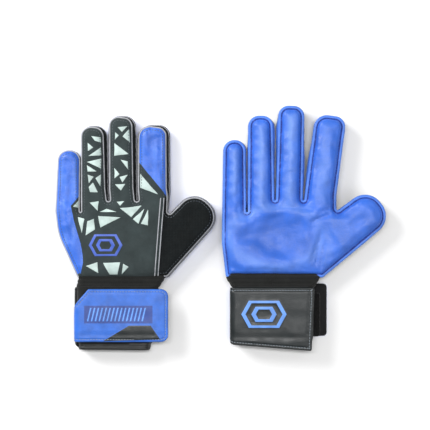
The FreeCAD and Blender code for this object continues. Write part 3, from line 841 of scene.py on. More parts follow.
    def inset_of_back(self):
        """The back's inset at each point of the outline, eased from one side of a finger to the next."""
        inset = np.full(len(self.outline), 1.0)
        for part, (start, end) in FINGER_ENDS.items():
            tip = (self.marks[f"{part}_a"] + self.marks[f"{part}_b"]) // 2
            before, after = (EVEN_INSET, EVEN_INSET) if self.flip else BACK_INSETS[part]
            inset[self.marks[start]:tip], inset[tip:self.marks[end]] = before, after
        return eased(inset, 10)

    def ring(self, inset):
        """The outline moved inward by a depth, or by one depth for each of its points."""
        return self.outline + self.inward * np.reshape(inset, (-1, 1))

    def run(self, start, end):
        """Outline numbers from one mark to another, both included."""
        return np.arange(self.marks[start], self.marks[end] + 1)

    def cuts(self, ring):
        """The lines that part the pieces, on a ring of the outline."""
        at = {mark: ring[number] for mark, number in self.marks.items()}
        lines = [(at["little_out"], at["web1"]), (at["web1"], at["web2"]), (at["web2"], at["web3"])]
        lines += [(at["web3"], at["index_out"]), (at["web4"], at["thumb_low"])]
        lines += [(at[f"{part}_a"], at[f"{part}_b"]) for part in (*FINGERS, "thumb")]
        return [dense(line) for line in lines]

    def labels(self, ring, middles):
        """The piece that each place belongs to."""
        label = np.full(len(middles), "hand", dtype="<U12")
        for part, (start, end) in FINGER_ENDS.items():
            label[inside(middles, ring[self.run(start, end)])] = f"{part}_base"
            label[inside(middles, ring[self.run(f"{part}_a", f"{part}_b")])] = f"{part}_tip"
        return label

    def stretches(self):
        """(label, first mark, last mark) of every stretch of the outline, without the wrist line."""
        out = [("hand", "wrist_a", "little_out"), ("hand", "index_out", "web4")]
        out.append(("hand", "thumb_low", "wrist_b"))
        for part, (start, end) in FINGER_ENDS.items():
            out += [(f"{part}_base", start, f"{part}_a"), (f"{part}_tip", f"{part}_a", f"{part}_b")]
            out.append((f"{part}_base", f"{part}_b", end))
        return out

    def handness(self, points):
        """1 over the hand, 0 over the fingers and the thumb."""
        x, y = points[:, 0], points[:, 1]
        return smooth((100 - y) / 26) * smooth((64 - x + 0.15 * (y - 78)) / 14)

    def hollow(self, points):
        """0 at the middle of the palm's hollow, 1 at its edge."""
        away = np.hypot((points[:, 0] + 5) / 45, (points[:, 1] - 50) / 31)
        return away + 0.06 * ripple(points, 45, 23)

    # ---- heights above the palm plane, at a depth inside the palm's or the back's edge
    def palm_heights(self, points, depth):
        """z of the palm's outer face and of its inner face."""
        hand = self.handness(points)
        reach = 12.5 + 4.5 * hand
        share = arch((depth - PALM_DEPTHS[-1]) / reach)
        deep = depth > PALM_DEPTHS[-1]
        outer = np.where(deep, PALM_OUTER[-1] * (1 - share), np.interp(depth, PALM_DEPTHS, PALM_OUTER))
        inner = np.where(deep, PALM_INNER[-1] - 2.9 * share, np.interp(depth, PALM_DEPTHS, PALM_INNER))
        spot = self.hollow(points)
        bowl = 3.0 * (1 - smooth((spot - 0.2) / 0.85)) * smooth((depth - 6) / 12)
        fold = 0.0
        for start, end, width, deepness in PALM_FOLDS:
            start, run = np.array(start), np.subtract(end, start)
            t = ((points - start) @ run) / (run @ run)
            off = np.linalg.norm(points - start - np.clip(t, 0, 1)[:, None] * run, axis=1)
            fold = fold + deepness * np.exp(-(off / width) ** 2) * smooth(np.minimum(t, 1 - t) * 3 + 0.35)
        uneven = fold + 0.35 * (1 + ripple(points, 34, 3)) + 0.14 * (1 + ripple(points, 11, 5))
        outer = outer + bowl + uneven * smooth((depth - 5) / 5)
        return np.maximum(outer, 0.05), np.maximum(inner, outer + 1.6)

    def palm_rub(self, points, depth):
        """Painted light on the palm's latex: a painted highlight on the fingers' crowns and on the ring round
        the hollow, and painted shade (below 0) at the hollow's middle.
        """
        hand = self.handness(points)
        spot = self.hollow(points)
        # the ring round the hollow: painted highlight, with painted shade at its middle
        ring = 0.65 * np.exp(-((spot - 1.08) / 0.2) ** 2)
        ring = ring - 0.35 * np.exp(-((spot - 0.3) / 0.5) ** 2)
        ring = ring * (0.8 + 0.4 * ripple(points, 70, 19))
        # the fingers' crowns: painted highlight, less towards the index finger and the thumb
        crown = smooth((depth - 6) / 8) * (0.75 + 0.35 * ripple(points, 60, 17))
        x = points[:, 0]
        crown = crown * (1 - 0.45 * smooth((x - 26) / 8) - 0.4 * smooth((x - 50) / 12))
        return np.clip((1 - hand) * crown + hand * ring, -0.6, 1.0)

    def back_rub(self, points, depth):
        """How much paler the back's latex is, as painted highlight along its edge and in lengthwise streaks;
        below 0 the streaks are painted shade.
        """
        streak = 0.3 * ripple(points * (1, 0.16), 8, 29) + 0.15 * ripple(points * (1, 0.5), 20, 37)
        return streak + 0.4 * np.exp(-((depth - 3.6) / 1.8) ** 2) * (0.75 + 0.4 * ripple(points, 50, 43))

    def back_heights(self, points, depth):
        """z of the back's outer face and of its inner face."""
        hand = self.handness(points)
        edge, crest = self.edge_level(points), BACK_CREST + CREST_RISE * hand
        share = arch(depth / (8.5 + 7 * hand))
        outer = edge + (crest - edge) * share
        calm = smooth((depth - 2) / 6)
        outer = outer + calm * (0.22 * ripple(points, 30, 11) + 0.1 * ripple(points, 9, 12))
        return outer, outer - np.where(depth > 0, np.minimum(2.4, 0.6 + depth), 0.0)

    # ---- panels
    def panels(self):
        self.pieces = {}
        self.palm()
        self.back()
        self.gussets()
        self.edgings()
        for key, piece in self.pieces.items():
            self.settle(piece.build(), *key)

    def piece(self, label, layer):
        key = (label, layer)
        if key not in self.pieces:
            name, slot = PIECE_NAMES[layer]
            if label == "hand":
                name = HAND_NAMES[layer]
            elif label.startswith("thumb") and layer == "back":
                slot = "thumb_black"
            self.pieces[key] = Piece(self, f"{self.side}_{name.format(label)}", slot)
        return self.pieces[key]

    def split(self, co, tris, stuff, label, layers, rub=None):
        """Deals the triangles of a sheet out to their pieces, with shared normals."""
        no = normals_of(co, tris)
        for key in sorted(set(zip(label, layers))):
            mine = (label == key[0]) & (layers == key[1])
            self.piece(*key).add(co, tris[mine], [s for s, m in zip(stuff, mine) if m], no=no, rub=rub)

    def palm(self):
        ring = self.outline
        folds = [dense((start, end)) for start, end, _, _ in PALM_FOLDS]
        sheet = Sheet(ring, self.cuts(ring) + folds, (0.5, 1.2, 3.0, 3.7, 4.6, 6.2, 8.2, 10.4))
        label = self.labels(ring, sheet.middles)
        outer, inner = self.palm_heights(sheet.flat, sheet.depth)
        places, outer = drape(sheet, outer, 4.4, -2.0)
        outer = np.maximum(outer, 0.05)
        depth = distance(sheet.middles, ring, np.roll(ring, -1, 0))
        # the flange is latex_edge; the band round the seam's groove is a darker copy of the latex, as painted
        # shade
        skin = np.where(depth < 3.1, "latex_edge", np.where(depth < 4.3, "latex_deep", "latex_blue"))
        under = np.full(len(skin), "lining_black")
        co, tris, stuff = sheet.slab(inner, outer, under, skin, places)
        # painted highlight and painted shade of the palm's points
        rub = sheet.doubled(self.palm_rub(sheet.flat, sheet.depth))
        self.split(co, tris, stuff, np.tile(label, 2), np.full(len(tris), "palm"), rub)

    def back(self):
        ring = self.ring(self.back_inset)
        shapes = [(name, rise, self.in_pattern(part, line)) for name, rise, part, line in BACK_SHAPES]
        lines = self.cuts(ring) + [dense(SIDE_LINE)] + shape_lines(shapes)
        sheet = Sheet(ring, lines, (0.6, 1.4, 2.6, 4.0, 6.0, 8.4))
        label = self.labels(ring, sheet.middles)
        outer, inner = self.back_heights(sheet.flat, sheet.depth)
        skin = np.full(len(sheet.tris), "knit_charcoal", dtype="<U16")
        skin[np.char.startswith(label, "thumb")] = "thumb_black"
        outer_side = np.array(((-80, 5), (-80, 230), (-33.4, 230), *SIDE_LINE))
        side = inside(sheet.middles, outer_side) & ((label == "hand") | np.char.startswith(label, "little"))
        side |= label == "little_tip"
        skin[side] = "latex_blue"
        outer = emboss(sheet, outer, skin, shapes, BACK_GROOVES)
        outer = np.where(sheet.depth > 0, outer, inner)
        places, outer = drape(sheet, outer, 3.0, 1.5, cap=0.7)
        under = np.full(len(skin), "lining_black")
        co, tris, stuff = sheet.slab(outer, inner, skin, under, places)
        layers = np.where(np.tile(side & (label == "hand"), 2), "side", "back")
        # painted highlight and painted shade of the back's latex points
        rub = sheet.doubled(self.back_rub(sheet.flat, sheet.depth))
        self.split(co, tris, stuff, np.tile(label, 2), layers, rub)
        self.back_face = KDTree(len(places))
        for number, (x, y) in enumerate(places):
            self.back_face.insert((x, y, 0.0), number)
        self.back_face.balance()
        self.back_z = outer

    def in_pattern(self, part, line):
        """Points given as (x, y) in the pattern, or (u, v) from a finger's bend line, v at full length."""
        if part == "hand":
            return np.array(line, float)
        local = self.local[part]
        share = self.length[part] / FULL[part]
        return np.array([local.place(u, v if v < 0 else v * share) for u, v in line])

    def edge_level(self, points):
        """z of the back's edge."""
        return BACK_EDGE + EDGE_RISE * self.handness(points)

    def bulge(self):
        """How far the gusset stands out: into the gap to the next finger, as far as there is room."""
        out = np.full(len(self.outline), 0.3)
        for pair, limit in GAP_FILL:
            for one, other in (pair, pair[::-1]):
                here, there = self.run(*FINGER_ENDS[one]), self.run(*FINGER_ENDS[other])
                gap = line_distance(self.outline[here], self.outline[there])
                room = np.clip((gap - 0.8) / 2, 0, limit) + 0.9
                out[here] = np.maximum(out[here], room * smooth((10 - gap) / 3))
        return eased(np.minimum(np.roll(out, -3), np.roll(out, 3)), 5)

    def gussets(self):
        """The walls between palm and back: a soft bulging strip all round, from wrist to wrist."""
        bulge = self.bulge()
        rise = (self.edge_level(self.outline) - GUSSET_LOW) / (BACK_EDGE - GUSSET_LOW)
        pleat = 0.22 * ripple(self.outline, 7, 41)
        rings, tall = [], GUSSET_LEVELS[-1][0] - GUSSET_LOW
        for z, out_share, back_share in GUSSET_LEVELS:
            inset = out_share + back_share * (self.back_inset + 0.7) + pleat * (0 < back_share < 0.9)
            inset = inset - bulge * math.sin(math.pi * (z - GUSSET_LOW) / tall)
            rings.append(np.column_stack((self.ring(inset), GUSSET_LOW + (z - GUSSET_LOW) * rise)))
        inner = [ring + np.column_stack((self.inward * 1.2, np.zeros(len(ring)))) for ring in rings[::-1]]
        seam = rings[GUSSET_ROLLED] - np.column_stack((self.inward * 0.1, np.zeros(len(pleat))))
        rings = np.array(rings + inner + [rings[0]])
        for label, start, end in self.stretches():
            run = self.run(start, end)
            co, faces, uv = loft(rings[:, run], closed=False)
            layer = "gusset" if label == "hand" else "back"
            rolled = np.arange(len(faces)) < GUSSET_ROLLED * (len(run) - 1)
            piece = self.piece(label, layer)
            piece.add(co, faces, np.where(rolled, "latex_edge", "mesh_black"), uv)
            co, faces, uv = tube(seam[run], 0.42, 6, ends=False)
            piece.add(co, faces, "piping_grey", uv)

    def edgings(self):
        """Piping round the back, and the stitching of palm and back."""
        piping = self.ring(self.back_inset + 0.05)
        piping = np.column_stack((piping, self.edge_level(piping) + 0.25))
        palm_seam = self.ring(SEAM_INSET)
        z = self.palm_heights(palm_seam, np.full(len(palm_seam), SEAM_INSET))[0]
        palm_seam = np.column_stack((palm_seam, z - 0.35))
        back_seam = self.ring(self.back_inset + BACK_SEAM)
        z = self.back_heights(back_seam, np.full(len(back_seam), BACK_SEAM))[0]
        back_seam = np.column_stack((back_seam, z + 0.15))
        for label, start, end in self.stretches():
            run = self.run(start, end)
            back = self.piece(label, "back")
            co, faces, uv = tube(piping[run], 0.95, ends=False)
            back.add(co, faces, "piping_grey", uv)
            co, faces = stitches(back_seam[run], (0, 0, 1))
            back.add(co, faces, "thread_grey")
            co, faces = stitches(palm_seam[run], (0, 0, -1))
            self.piece(label, "palm").add(co, faces, "thread_dark")
        back = self.piece("hand", "back")
        for line, stuff, radius in BACK_CORDS:
            flat = dense(self.in_pattern("hand", line))
            near = [[number for _, number, _ in self.back_face.find_n((x, y, 0.0), 4)] for x, y in flat]
            z = self.back_z[near].mean(1)
            z = np.convolve(np.pad(z, 3, "edge"), np.full(7, 1 / 7), "valid")
            co, faces, uv = tube(np.column_stack((flat, z + 0.35)), radius)
            back.add(co, faces, stuff, uv)

    def settle(self, ob, label, layer):
        """Joins a hand panel to its body, and bakes any other panel where it lies.  Hides the CAD node that
        it stands for.
        """
        side = self.side
        if label == "hand":
            nodes = {
                "palm": "palm_panel", "back": "back_panel", "side": "side_panel", "gusset": "hand_gusset",
            }
            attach(ob, f"{side}_hand")
            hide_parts(f"{side}_{nodes[layer]}")
        else:
            part, end = label.split("_")
            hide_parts(f"{side}_{label}_{layer}")
            if part == "thumb" and end == "base":
                across = self.seam.uv(self.outline[self.marks["web4"]])[0]
                start, stop = self.seam.place(across, 40), self.seam.place(across + 8, 40)
            elif part == "thumb":
                start, stop = self.local["thumb"].place(0, 0), self.local["thumb"].place(0, 12)
            else:
                local, bend = self.local[part], self.length[part] / 2
                zone = min(12.0, 0.38 * bend)
                if end == "base":
                    start, stop = local.place(0, -8), local.place(0, zone)
                else:
                    start, stop = local.place(0, bend - zone), local.place(0, bend + zone)
            self.world_point(*start)
            self.world_point(*stop)
            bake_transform(ob)

    # ---- inside, wrist, cuff
    def lining(self):
        piece = Piece(self, f"{self.side}_lining_cloth", "lining_black")
        rings = []
        for y in np.linspace(5, 84, 30):
            half = np.interp(y, (5, 52, 84), (41, 55, 53))
            middle = np.interp(y, (5, 52, 84), (sum(self.look["wrist"]) / 2, -2, -2))
            shape = rounded_box(half, 5.2 + 1.2 * math.sin(math.pi * (y - 5) / 90), 4.8, 120)
            wrinkle = 1 + 0.02 * np.sin(y / 3.1 + 7 * shape[:, 0] / half)
            z = HEIGHT / 2 + shape[:, 1] * wrinkle
            rings.append(np.column_stack((middle + shape[:, 0], np.full(len(shape), y), z)))
        last = rings[-1]
        centre = last.mean(0)
        for share, more in ((0.6, 1.5), (0.2, 2.0)):
            rings.append(centre + (last - centre) * (1, 1, share) + (0, more, 0))
        co, faces, uv = loft(rings)
        piece.add(co, faces, "lining_black", uv)
        ob = piece.build()
        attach(ob, f"{self.side}_hand")
        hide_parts(f"{self.side}_lining")

    def wrist(self):
        """The gathered elastic between hand and cuff."""
        piece = Piece(self, f"{self.side}_wrist_elastic", "cuff_black")
        x0, x1 = self.look["wrist"]
        wide = x1 + self.look["flare"]
        left, right = self.cuff_x - CUFF_HALF, self.cuff_x + CUFF_HALF
        count = 360
        rings, inner = [], []
        for y in np.linspace(12, -12, 61):
            near = np.interp(y, (-12, -7, 3, 12), (left + 1.2, left + 0.4, x0 + 1.0, x0 + 3.0))
            far = np.interp(y, (-12, -9, 4.5, 12), (right - 1.2, right - 0.4, wide - 1.0, wide - 3.0))
            half, middle = (far - near) / 2, (far + near) / 2
            half_z = np.interp(y, (-12, -6, 3, 8, 12), (7.9, 8.3, 8.5, 7.0, 6.0))
            puff = 0.55 * abs(math.sin(math.pi * (y + 12) / 4.8)) if y < 7 else 0.0
            shape = rounded_box(half + puff, half_z + puff, 6.0, count)
            ridge = 0.32 * np.sin(np.arange(count) * 2 * math.pi * 90 / count + 0.8 * math.sin(y))
            away = np.linalg.norm(shape, axis=1)
            for face, share in ((rings, 1 + ridge / away), (inner, 1 - 1.6 / away)):
                x, z = (shape * share[:, None]).T
                face.append(np.column_stack((middle + x, np.full(count, y), WRIST_MIDDLE + z)))
        rings += inner[::-1] + [rings[0]]
        co, faces, uv = loft(rings)
        piece.add(co, faces, "elastic_black", uv)
        ob = piece.build()
        start, stop = self.world_point(self.cuff_x, 6, 12.0), self.world_point(self.cuff_x, -7, 12.0)
        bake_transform(ob)

    def cuff_end(self, x, y):
        """Where a point of the straight cuff comes to lie: its end is slimmer and cut a little askew."""
        shift, share = self.look["cuff_slim"]
        slant = self.look["cuff_skew"] * (0.5 - x / (2 * CUFF_HALF)) * smooth((-45 - y) / 28)
        return self.cuff_x + x - smooth((-60 - y) / 14) * (shift + share * x), y + slant

    def cuff(self):
        piece = Piece(self, f"{self.side}_cuff_fabric", "cuff_black")
        count = 260
        # y and inset of each ring: the outside, the bound end, the inside
        profile = [(y, 0.0) for y in np.linspace(-4, -72, 46)]
        profile += [(-73, 0.1), (-73.4, -0.5), (-74.4, -0.9), (-75.8, -0.6), (-76.8, 0.6), (-76.9, 1.8)]
        profile += [(-76, 2.9), (-74.6, 3.3), (-73.4, 2.9), (-73, 2.4)]
        profile += [(y, 2.3) for y in np.linspace(-70, -4, 24)]
        profile.append((-3.2, 1.2))
        rings = []
        for y, inset in profile:
            corner = max(1.5, CUFF_ROUND - inset)
            shape = rounded_box(CUFF_HALF - inset, CUFF_THICK - inset, corner, count)
            soft = 1 + 0.006 * np.sin(y / 2.3 + 9 * shape[:, 0] / CUFF_HALF) * (inset == 0)
            z = CUFF_MIDDLE + shape[:, 1] * soft
            rings.append(np.column_stack((*self.cuff_end(shape[:, 0], y), z)))
        rings.append(rings[0])
        co, faces, uv = loft(rings)
        bound = co[faces].mean(1)[:, 1] < -69.5
        piece.add(co, faces, np.where(bound, "binding_black", "cuff_black"), uv)
        shape = rounded_box(CUFF_HALF, CUFF_THICK, CUFF_ROUND, count)
        for y in (-71.6, -6.0):
            path = np.column_stack((*self.cuff_end(shape[:, 0], y), CUFF_MIDDLE + shape[:, 1]))
            co, faces, uv = tube(np.concatenate((path, path[:1])), 0.35, 6)
            piece.add(co, faces, "thread_black", uv)
        ob = piece.build()
        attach(ob, f"{self.side}_cuff")
        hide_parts(f"{self.side}_cuff")

    # ---- strap
    def strap_outline(self, x0, x1, corner, slant=None):
        """The flap's outline.  slant are the corners in place of the one at x0 and the top."""
        corners = [(x0, STRAP_END, 0.8, None)]
        corners += [(x0, STRAP_TOP, 0.8, None)] if slant is None else slant
        corners += [(x1, STRAP_TOP, corner, None), (x1, STRAP_END, corner, None)]
        return rounded(corners)[0]

    def band(self, name, outline, shapes, levels, skins, grooves, bend, slot="strap_blue"):
        """A padded band, drawn flat and then bent: levels (outer, inner) in mm, shapes on its outer face.

        skins are the materials of its outer face, its inner face and its stitches.
        """
        piece = Piece(self, name, slot)
        sheet = Sheet(outline, shape_lines(shapes), (0.5, 1.2, 2.4, 3.0, 3.8, 5.2))
        flat, depth = sheet.flat, sheet.depth
        high, low = levels
        way = 1 if high > low else -1
        edge = np.interp(depth, (0, 0.5, 1.2, 2.4, 3.0, 3.8, 5.2), (1.5, 0.8, 0.5, 0.45, 0.95, 0.35, 0.1))
        outer = high - way * (edge + 0.12 * (1 + ripple(flat, 22, 21)))
        skin = np.full(len(sheet.tris), skins[0], dtype="<U16")
        outer = emboss(sheet, outer, skin, shapes, grooves, way)
        inner = low + way * np.interp(depth, (0, 0.5, 1.2), (1.2, 0.5, 0.0))
        middle, under = (high + low) / 2, np.full(len(skin), skins[1])
        if way > 0:
            co, tris, stuff = sheet.slab(np.where(depth == 0, middle, outer), inner, skin, under)
        else:
            co, tris, stuff = sheet.slab(np.where(depth == 0, middle, inner), outer, under, skin)
        piece.add(bend(co), tris, list(stuff), co[:, :2])
        ring = outline + inward(outline) * 2.95
        path = np.column_stack((ring, np.full(len(ring), high - way * 0.75)))
        path = bend(np.concatenate((path, path[:1])))
        co, faces = stitches(path, (0, 0, way))
        piece.add(co, faces, skins[2])
        return piece

    def wrap(self, x_seam):
        """Bends a flat band round the cuff's side: x below x_seam runs down the side."""
        def bend(co):
            """The band's middle level follows the arc of WRAP_RADIUS, and then runs straight down."""
            out = co.copy()
            off = out[:, 2] - (HEIGHT - STRAP_THICK / 2)
            past = np.maximum(x_seam - out[:, 0], 0.0)
            angle = np.minimum(past / WRAP_RADIUS, math.pi / 2)
            down = np.maximum(past - WRAP_RADIUS * math.pi / 2, 0.0)
            reach = WRAP_RADIUS + off
            out[:, 0] = np.where(past > 0, x_seam - reach * np.sin(angle), out[:, 0])
            out[:, 2] = np.where(past > 0, WRAP_CENTRE + reach * np.cos(angle) - down, out[:, 2])
            return out
        return bend

    def strap(self):
        side, fold = self.side, self.fold_x
        longer, corner, skew = self.look["strap"]
        seam = fold + 6.0
        end = fold + STRAP_REACH + longer
        start_x = seam - (WRAP_RADIUS * math.pi / 2 + 3.0)
        slant = [(start_x, -32.0, 0.8, None), (fold + 16.5, STRAP_TOP, 2.0, None)]
        outline = self.strap_outline(start_x, end, corner, None if self.flip else slant)
        outline[:, 1] += skew * smooth((outline[:, 0] - seam) / 90)
        shapes = [("strap_navy", 0.0, RIB_BAND)]
        for x in np.arange(-28.5, 36.0, 4.3):
            rib = np.array(((x, -44.2), (x + 1.7, -44.2), (x + 5.2, -29.4), (x + 3.5, -29.4)))
            shapes.append(("print_sky", RAISED, rib))
        shapes.append(("strap_black", 0.25, np.array(DARK_PATCH)))
        shapes = [(stuff, rise, line + (fold + 43.5, 0)) for stuff, rise, line in shapes]
        grooves = [(((seam + 2, y), (end - 3.2, y)), 0.55, 0.55) for y in (-57.5, -60.0, -62.5)]
        piece = self.band(f"{side}_strap_webbing", outline, shapes, (HEIGHT - 0.05, HEIGHT - STRAP_THICK),
                          ("strap_blue", "lining_black", "thread_light"), grooves, self.wrap(seam))
        ob = piece.build()
        start, stop = (fold + 1.0, -38, 18.5), (fold + 12.0, -38, 24.6)
        self.world_point(*start)
        self.world_point(*stop)
        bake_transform(ob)
        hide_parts(f"{side}_strap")

        # the palm side of the strap, and the wrap up the cuff's side
        right = self.cuff_x + CUFF_HALF + 1.0
        top = STRAP_TOP + 1.6
        corners = [(fold - 8.5, STRAP_END, 0.8, None), (fold - 8.5, top, 0.8, None), (right, top, 2.0, None)]
        corners.append((*self.cuff_end(CUFF_HALF + 0.6, CUFF_TAIL), 2.0, None))
        corners.append((*self.cuff_end(-CUFF_HALF + 2.0, CUFF_TAIL), 2.0, None))
        outline = rounded(corners)[0]
        middle = np.array((self.cuff_x - 10.0, -36.5))
        shapes = badge(middle, 25.0, 15.0, "print_sky", "strap_black")
        grooves = [(((fold + 4, y), (right - 3, y)), 0.6, 0.4) for y in (-57.6, -60.4, -63.2)]
        grooves.append((((right - 5.5, -10), (right - 8.0, -72)), 0.7, 0.5))

        def under(co):
            flipped = co * (1, 1, -1) + (0, 0, HEIGHT)
            shaped = self.wrap(seam)(flipped)
            return shaped * (1, 1, -1) + (0, 0, HEIGHT - 0.05)

        piece = self.band(f"{side}_strap_anchor_panel", outline, shapes, (0.05, STRAP_THICK),
                          ("strap_black", "lining_black", "thread_light"), grooves, under, "strap_black")
        ob = piece.build()
        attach(ob, f"{side}_cuff")
        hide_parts(f"{side}_strap_anchor")

    def patches(self):
        """The loop patch on the cuff's back, and the hook patch under the flap."""
        cuff, strap = (self.cuff_x - 35, self.cuff_x + 35), (self.fold_x + 30, self.fold_x + STRAP_REACH - 5)
        y0, y1 = STRAP_END + 5, STRAP_TOP - 5
        for name, body, (x0, x1), low, high, stuff in (
            ("loop_patch", "cuff", cuff, CUFF_HIGH - 0.1, CUFF_HIGH + 0.9, "loop_black"),
            ("hook_patch", "strap", strap, HEIGHT - 4.1, HEIGHT - 3.1, "hook_black"),
        ):
            piece = Piece(self, f"{self.side}_{name}_pile", stuff)
            corners = [(x, y, 3, None) for x, y in ((x0, y0), (x0, y1), (x1, y1), (x1, y0))]
            sheet = Sheet(rounded(corners)[0], (), (0.4, 1.0, 2.0), 2.2)
            rim = (low + high) / 2
            lift = np.interp(sheet.depth, (0, 0.4, 1.0), (0.0, 0.8, 1.0)) * (high - low) / 2
            rough = 0.12 * ripple(sheet.flat, 3.1, 31) * (sheet.depth > 1)
            up, down = (rough, 0.0) if name == "loop_patch" else (0.0, -rough)
            names = np.full(len(sheet.tris), stuff)
            co, tris, stuffs = sheet.slab(rim + lift + up, rim - lift + down, names, names)
            piece.add(co, tris, list(stuffs))
            ob = piece.build()
            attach(ob, f"{self.side}_{body}")
            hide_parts(f"{self.side}_{name}")

    def build(self):
        self.panels()
        self.lining()
        self.wrist()
        self.cuff()
        self.strap()
        self.patches()


# the outline's marks where each finger starts and ends
FINGER_ENDS = {
    "little": ("little_out", "web1"),
    "ring": ("web1", "web2"),
    "middle": ("web2", "web3"),
    "index": ("web3", "index_out"),
    "thumb": ("web4", "thumb_low"),
}
HAND_NAMES = {
    "palm": "palm_panel_latex",
    "back": "back_panel_fabric",
    "side": "side_panel_latex",
    "gusset": "hand_gusset_mesh",
}
# the names of the other panels, and the slots of all
PIECE_NAMES = {
    "palm": ("{}_palm_latex", "latex_blue"),
    "back": ("{}_back_fabric", "backhand_grey"),
    "side": ("{}_side_latex", "latex_blue"),
    "gusset": ("{}_gusset_mesh", "gusset_black"),
}
# the length of a finger for which the places of its shapes are given
FULL = {"little": 59.0, "ring": 74.0, "middle": 85.0, "index": 75.0}
# levels of the gusset: z, the part of its inset that is fixed, and the share that follows the back's edge
GUSSET_LOW = 8.0
GUSSET_LEVELS = (
    (8.0, 3.5, 0.0), (9.3, 2.0, 0.0), (11.0, 1.0, 0.05), (13.0, 0.7, 0.15), (15.0, 0.4, 0.45),
    (16.6, 0.15, 0.8), (17.4, 0.0, 1.0),
)
GUSSET_ROLLED = 3        # so many of its lower strips are the palm's latex, rolled round the side
# how far the gussets of two neighbours may fill the gap between them
GAP_FILL = ((("little", "ring"), 2.4), (("ring", "middle"), 3.6), (("middle", "index"), 1.4))
# folds of the palm: from, to, width and depth
PALM_FOLDS = (
    ((46.5, 56), (40, 18), 1.8, 1.9),
    ((41.5, 46), (35.5, 22), 1.6, 1.3),
    ((50, 44), (45.5, 16), 1.6, 1.3),
    ((58, 74), (33, 65), 2.2, 1.5),
    ((56, 81), (40, 74.5), 1.8, 0.9),
    ((-50, 80.5), (-18, 79), 2.6, 0.7),
    ((-12, 85), (40, 79), 2.8, 0.7),
)
# the seam between the latex side and the back, from the little finger's web to the wrist
SIDE_LINE = (
    (-33.4, 99.0), (-46.3, 83.5), (-43.0, 69.0), (-39.6, 56.0), (-35.6, 42.0), (-33.2, 30.0), (-32.9, 20.0),
    (-35.4, 8.5),
)
# grooves of the back: a line, its width and its depth
BACK_GROOVES = (
    (((-42.9, 69), (-35.6, 42), (-32.9, 22), (-35.0, 4)), 0.9, 0.9),
    (((57.5, 92), (49.5, 6)), 1.2, 0.5),
    (((-52.5, 134), (-55.5, 104), (-55.2, 80), (-51.5, 62), (-46.5, 46)), 1.2, 0.8),
    (((-46.5, 126), (-47.5, 100), (-50.0, 84)), 1.5, 0.6),
    (((38, 168), (43, 150), (45, 136)), 1.4, 0.6),
    (((53, 160), (52, 132), (56, 112)), 1.3, 0.6),
    (((36, 142), (42, 128), (50, 116)), 1.2, 0.5),
)
# cords on the back: a line, its material and its radius
BACK_CORDS = (
    (((53.0, 92), (46.4, 6)), "piping_grey", 0.6),
    (((56.6, 92), (50.0, 6)), "piping_grey", 0.6),
)
RIB_BAND = np.array(((-31.5, -46.5), (44.0, -46.5), (44.0, -27.0), (-31.5, -27.0)))
DARK_PATCH = ((-10.4, -66.0), (18.0, -49.0), (42.0, -49.0), (52.8, -64.6))


def hexagon(half_x, half_y):
    """A hexagon with its points at the sides, about (0, 0)."""
    flat = half_x - 0.55 * half_y
    upper = ((-half_x, 0), (-flat, half_y), (flat, half_y))
    return np.array(upper + tuple((-x, -y) for x, y in upper))


def badge(middle, half_x, half_y, line, ground):
    """A generic badge: a hexagon within a hexagon, as raised lines on the ground."""
    out = []
    for number, share in enumerate((1.0, 0.82, 0.56, 0.36)):
        stuff, rise = (line, RAISED) if number % 2 == 0 else (ground, -RAISED)
        out.append((stuff, rise, hexagon(half_x * share, half_y * share) + middle))
    return out


# the light shards of the back, by the part whose frame they are in
SHARDS = {
    "ring": (
        ((-4.3, 62.2), (5.8, 61.3), (6.4, 55.5), (-0.4, 57.3)),
        ((-8.3, 54.9), (-2.2, 50.1), (-7.6, 45.9)),
        ((-7.0, 40.5), (6.1, 50.1), (6.9, 41.4)),
        ((-8.3, 33.8), (6.9, 37.8), (6.9, 26.6)),
        ((-8.3, 30.2), (2.0, 23.3), (-7.6, 23.0)),
        ((-7.6, 19.7), (-1.1, 17.4), (-6.1, 10.3)),
        ((1.1, 15.8), (6.9, 20.4), (6.5, 7.1)),
        ((-6.1, 6.1), (-1.6, 11.1), (3.6, 0.5), (-4.6, 0.4)),
        ((-4.6, -11.2), (5.0, -9.3), (4.2, -20.0)),
    ),
    "middle": (
        ((-6.9, 72.1), (3.4, 73.5), (-2.2, 67.0)),
        ((-1.4, 62.2), (5.4, 70.6), (6.8, 55.5)),
        ((-9.6, 66.6), (-5.6, 63.2), (-9.6, 58.5)),
        ((-10.2, 54.5), (5.4, 42.8), (-10.2, 40.5)),
        ((-3.0, 36.1), (4.6, 34.6), (5.4, 25.4)),
        ((-10.0, 27.1), (-4.4, 20.4), (-9.4, 15.5)),
        ((-4.0, 17.4), (5.0, 19.9), (-0.6, 11.5)),
        ((-8.6, 8.9), (2.4, 9.7), (-2.0, 2.4)),
    ),
    "hand": (
        ((4.4, 88.0), (12.6, 88.6), (8.4, 83.4)),
        ((-38.2, 71.0), (-30.8, 69.0), (-33.8, 53.2)),
        ((-27.4, 66.3), (-20.3, 69.0), (-19.4, 57.4), (-29.6, 50.8)),
        ((-15.8, 72.4), (8.6, 70.4), (-13.1, 59.6)),
        ((-14.0, 77.1), (-6.7, 80.4), (4.4, 76.4)),
        ((8.1, 80.7), (31.6, 83.8), (20.3, 70.8)),
        ((22.2, 68.6), (34.6, 80.4), (28.4, 63.6)),
        ((31.2, 63.6), (38.6, 79.4), (38.8, 61.7)),
        ((-29.0, 17.0), (-16.7, 21.2), (-15.8, 9.0)),
        ((-10.5, 20.3), (8.0, 20.6), (5.2, 7.4), (-3.4, 7.4)),
        ((11.6, 19.3), (17.6, 15.7), (9.9, 7.6)),
    ),
}
BACK_SHAPES = [("print_white", RAISED, part, ring) for part, rings in SHARDS.items() for ring in rings]
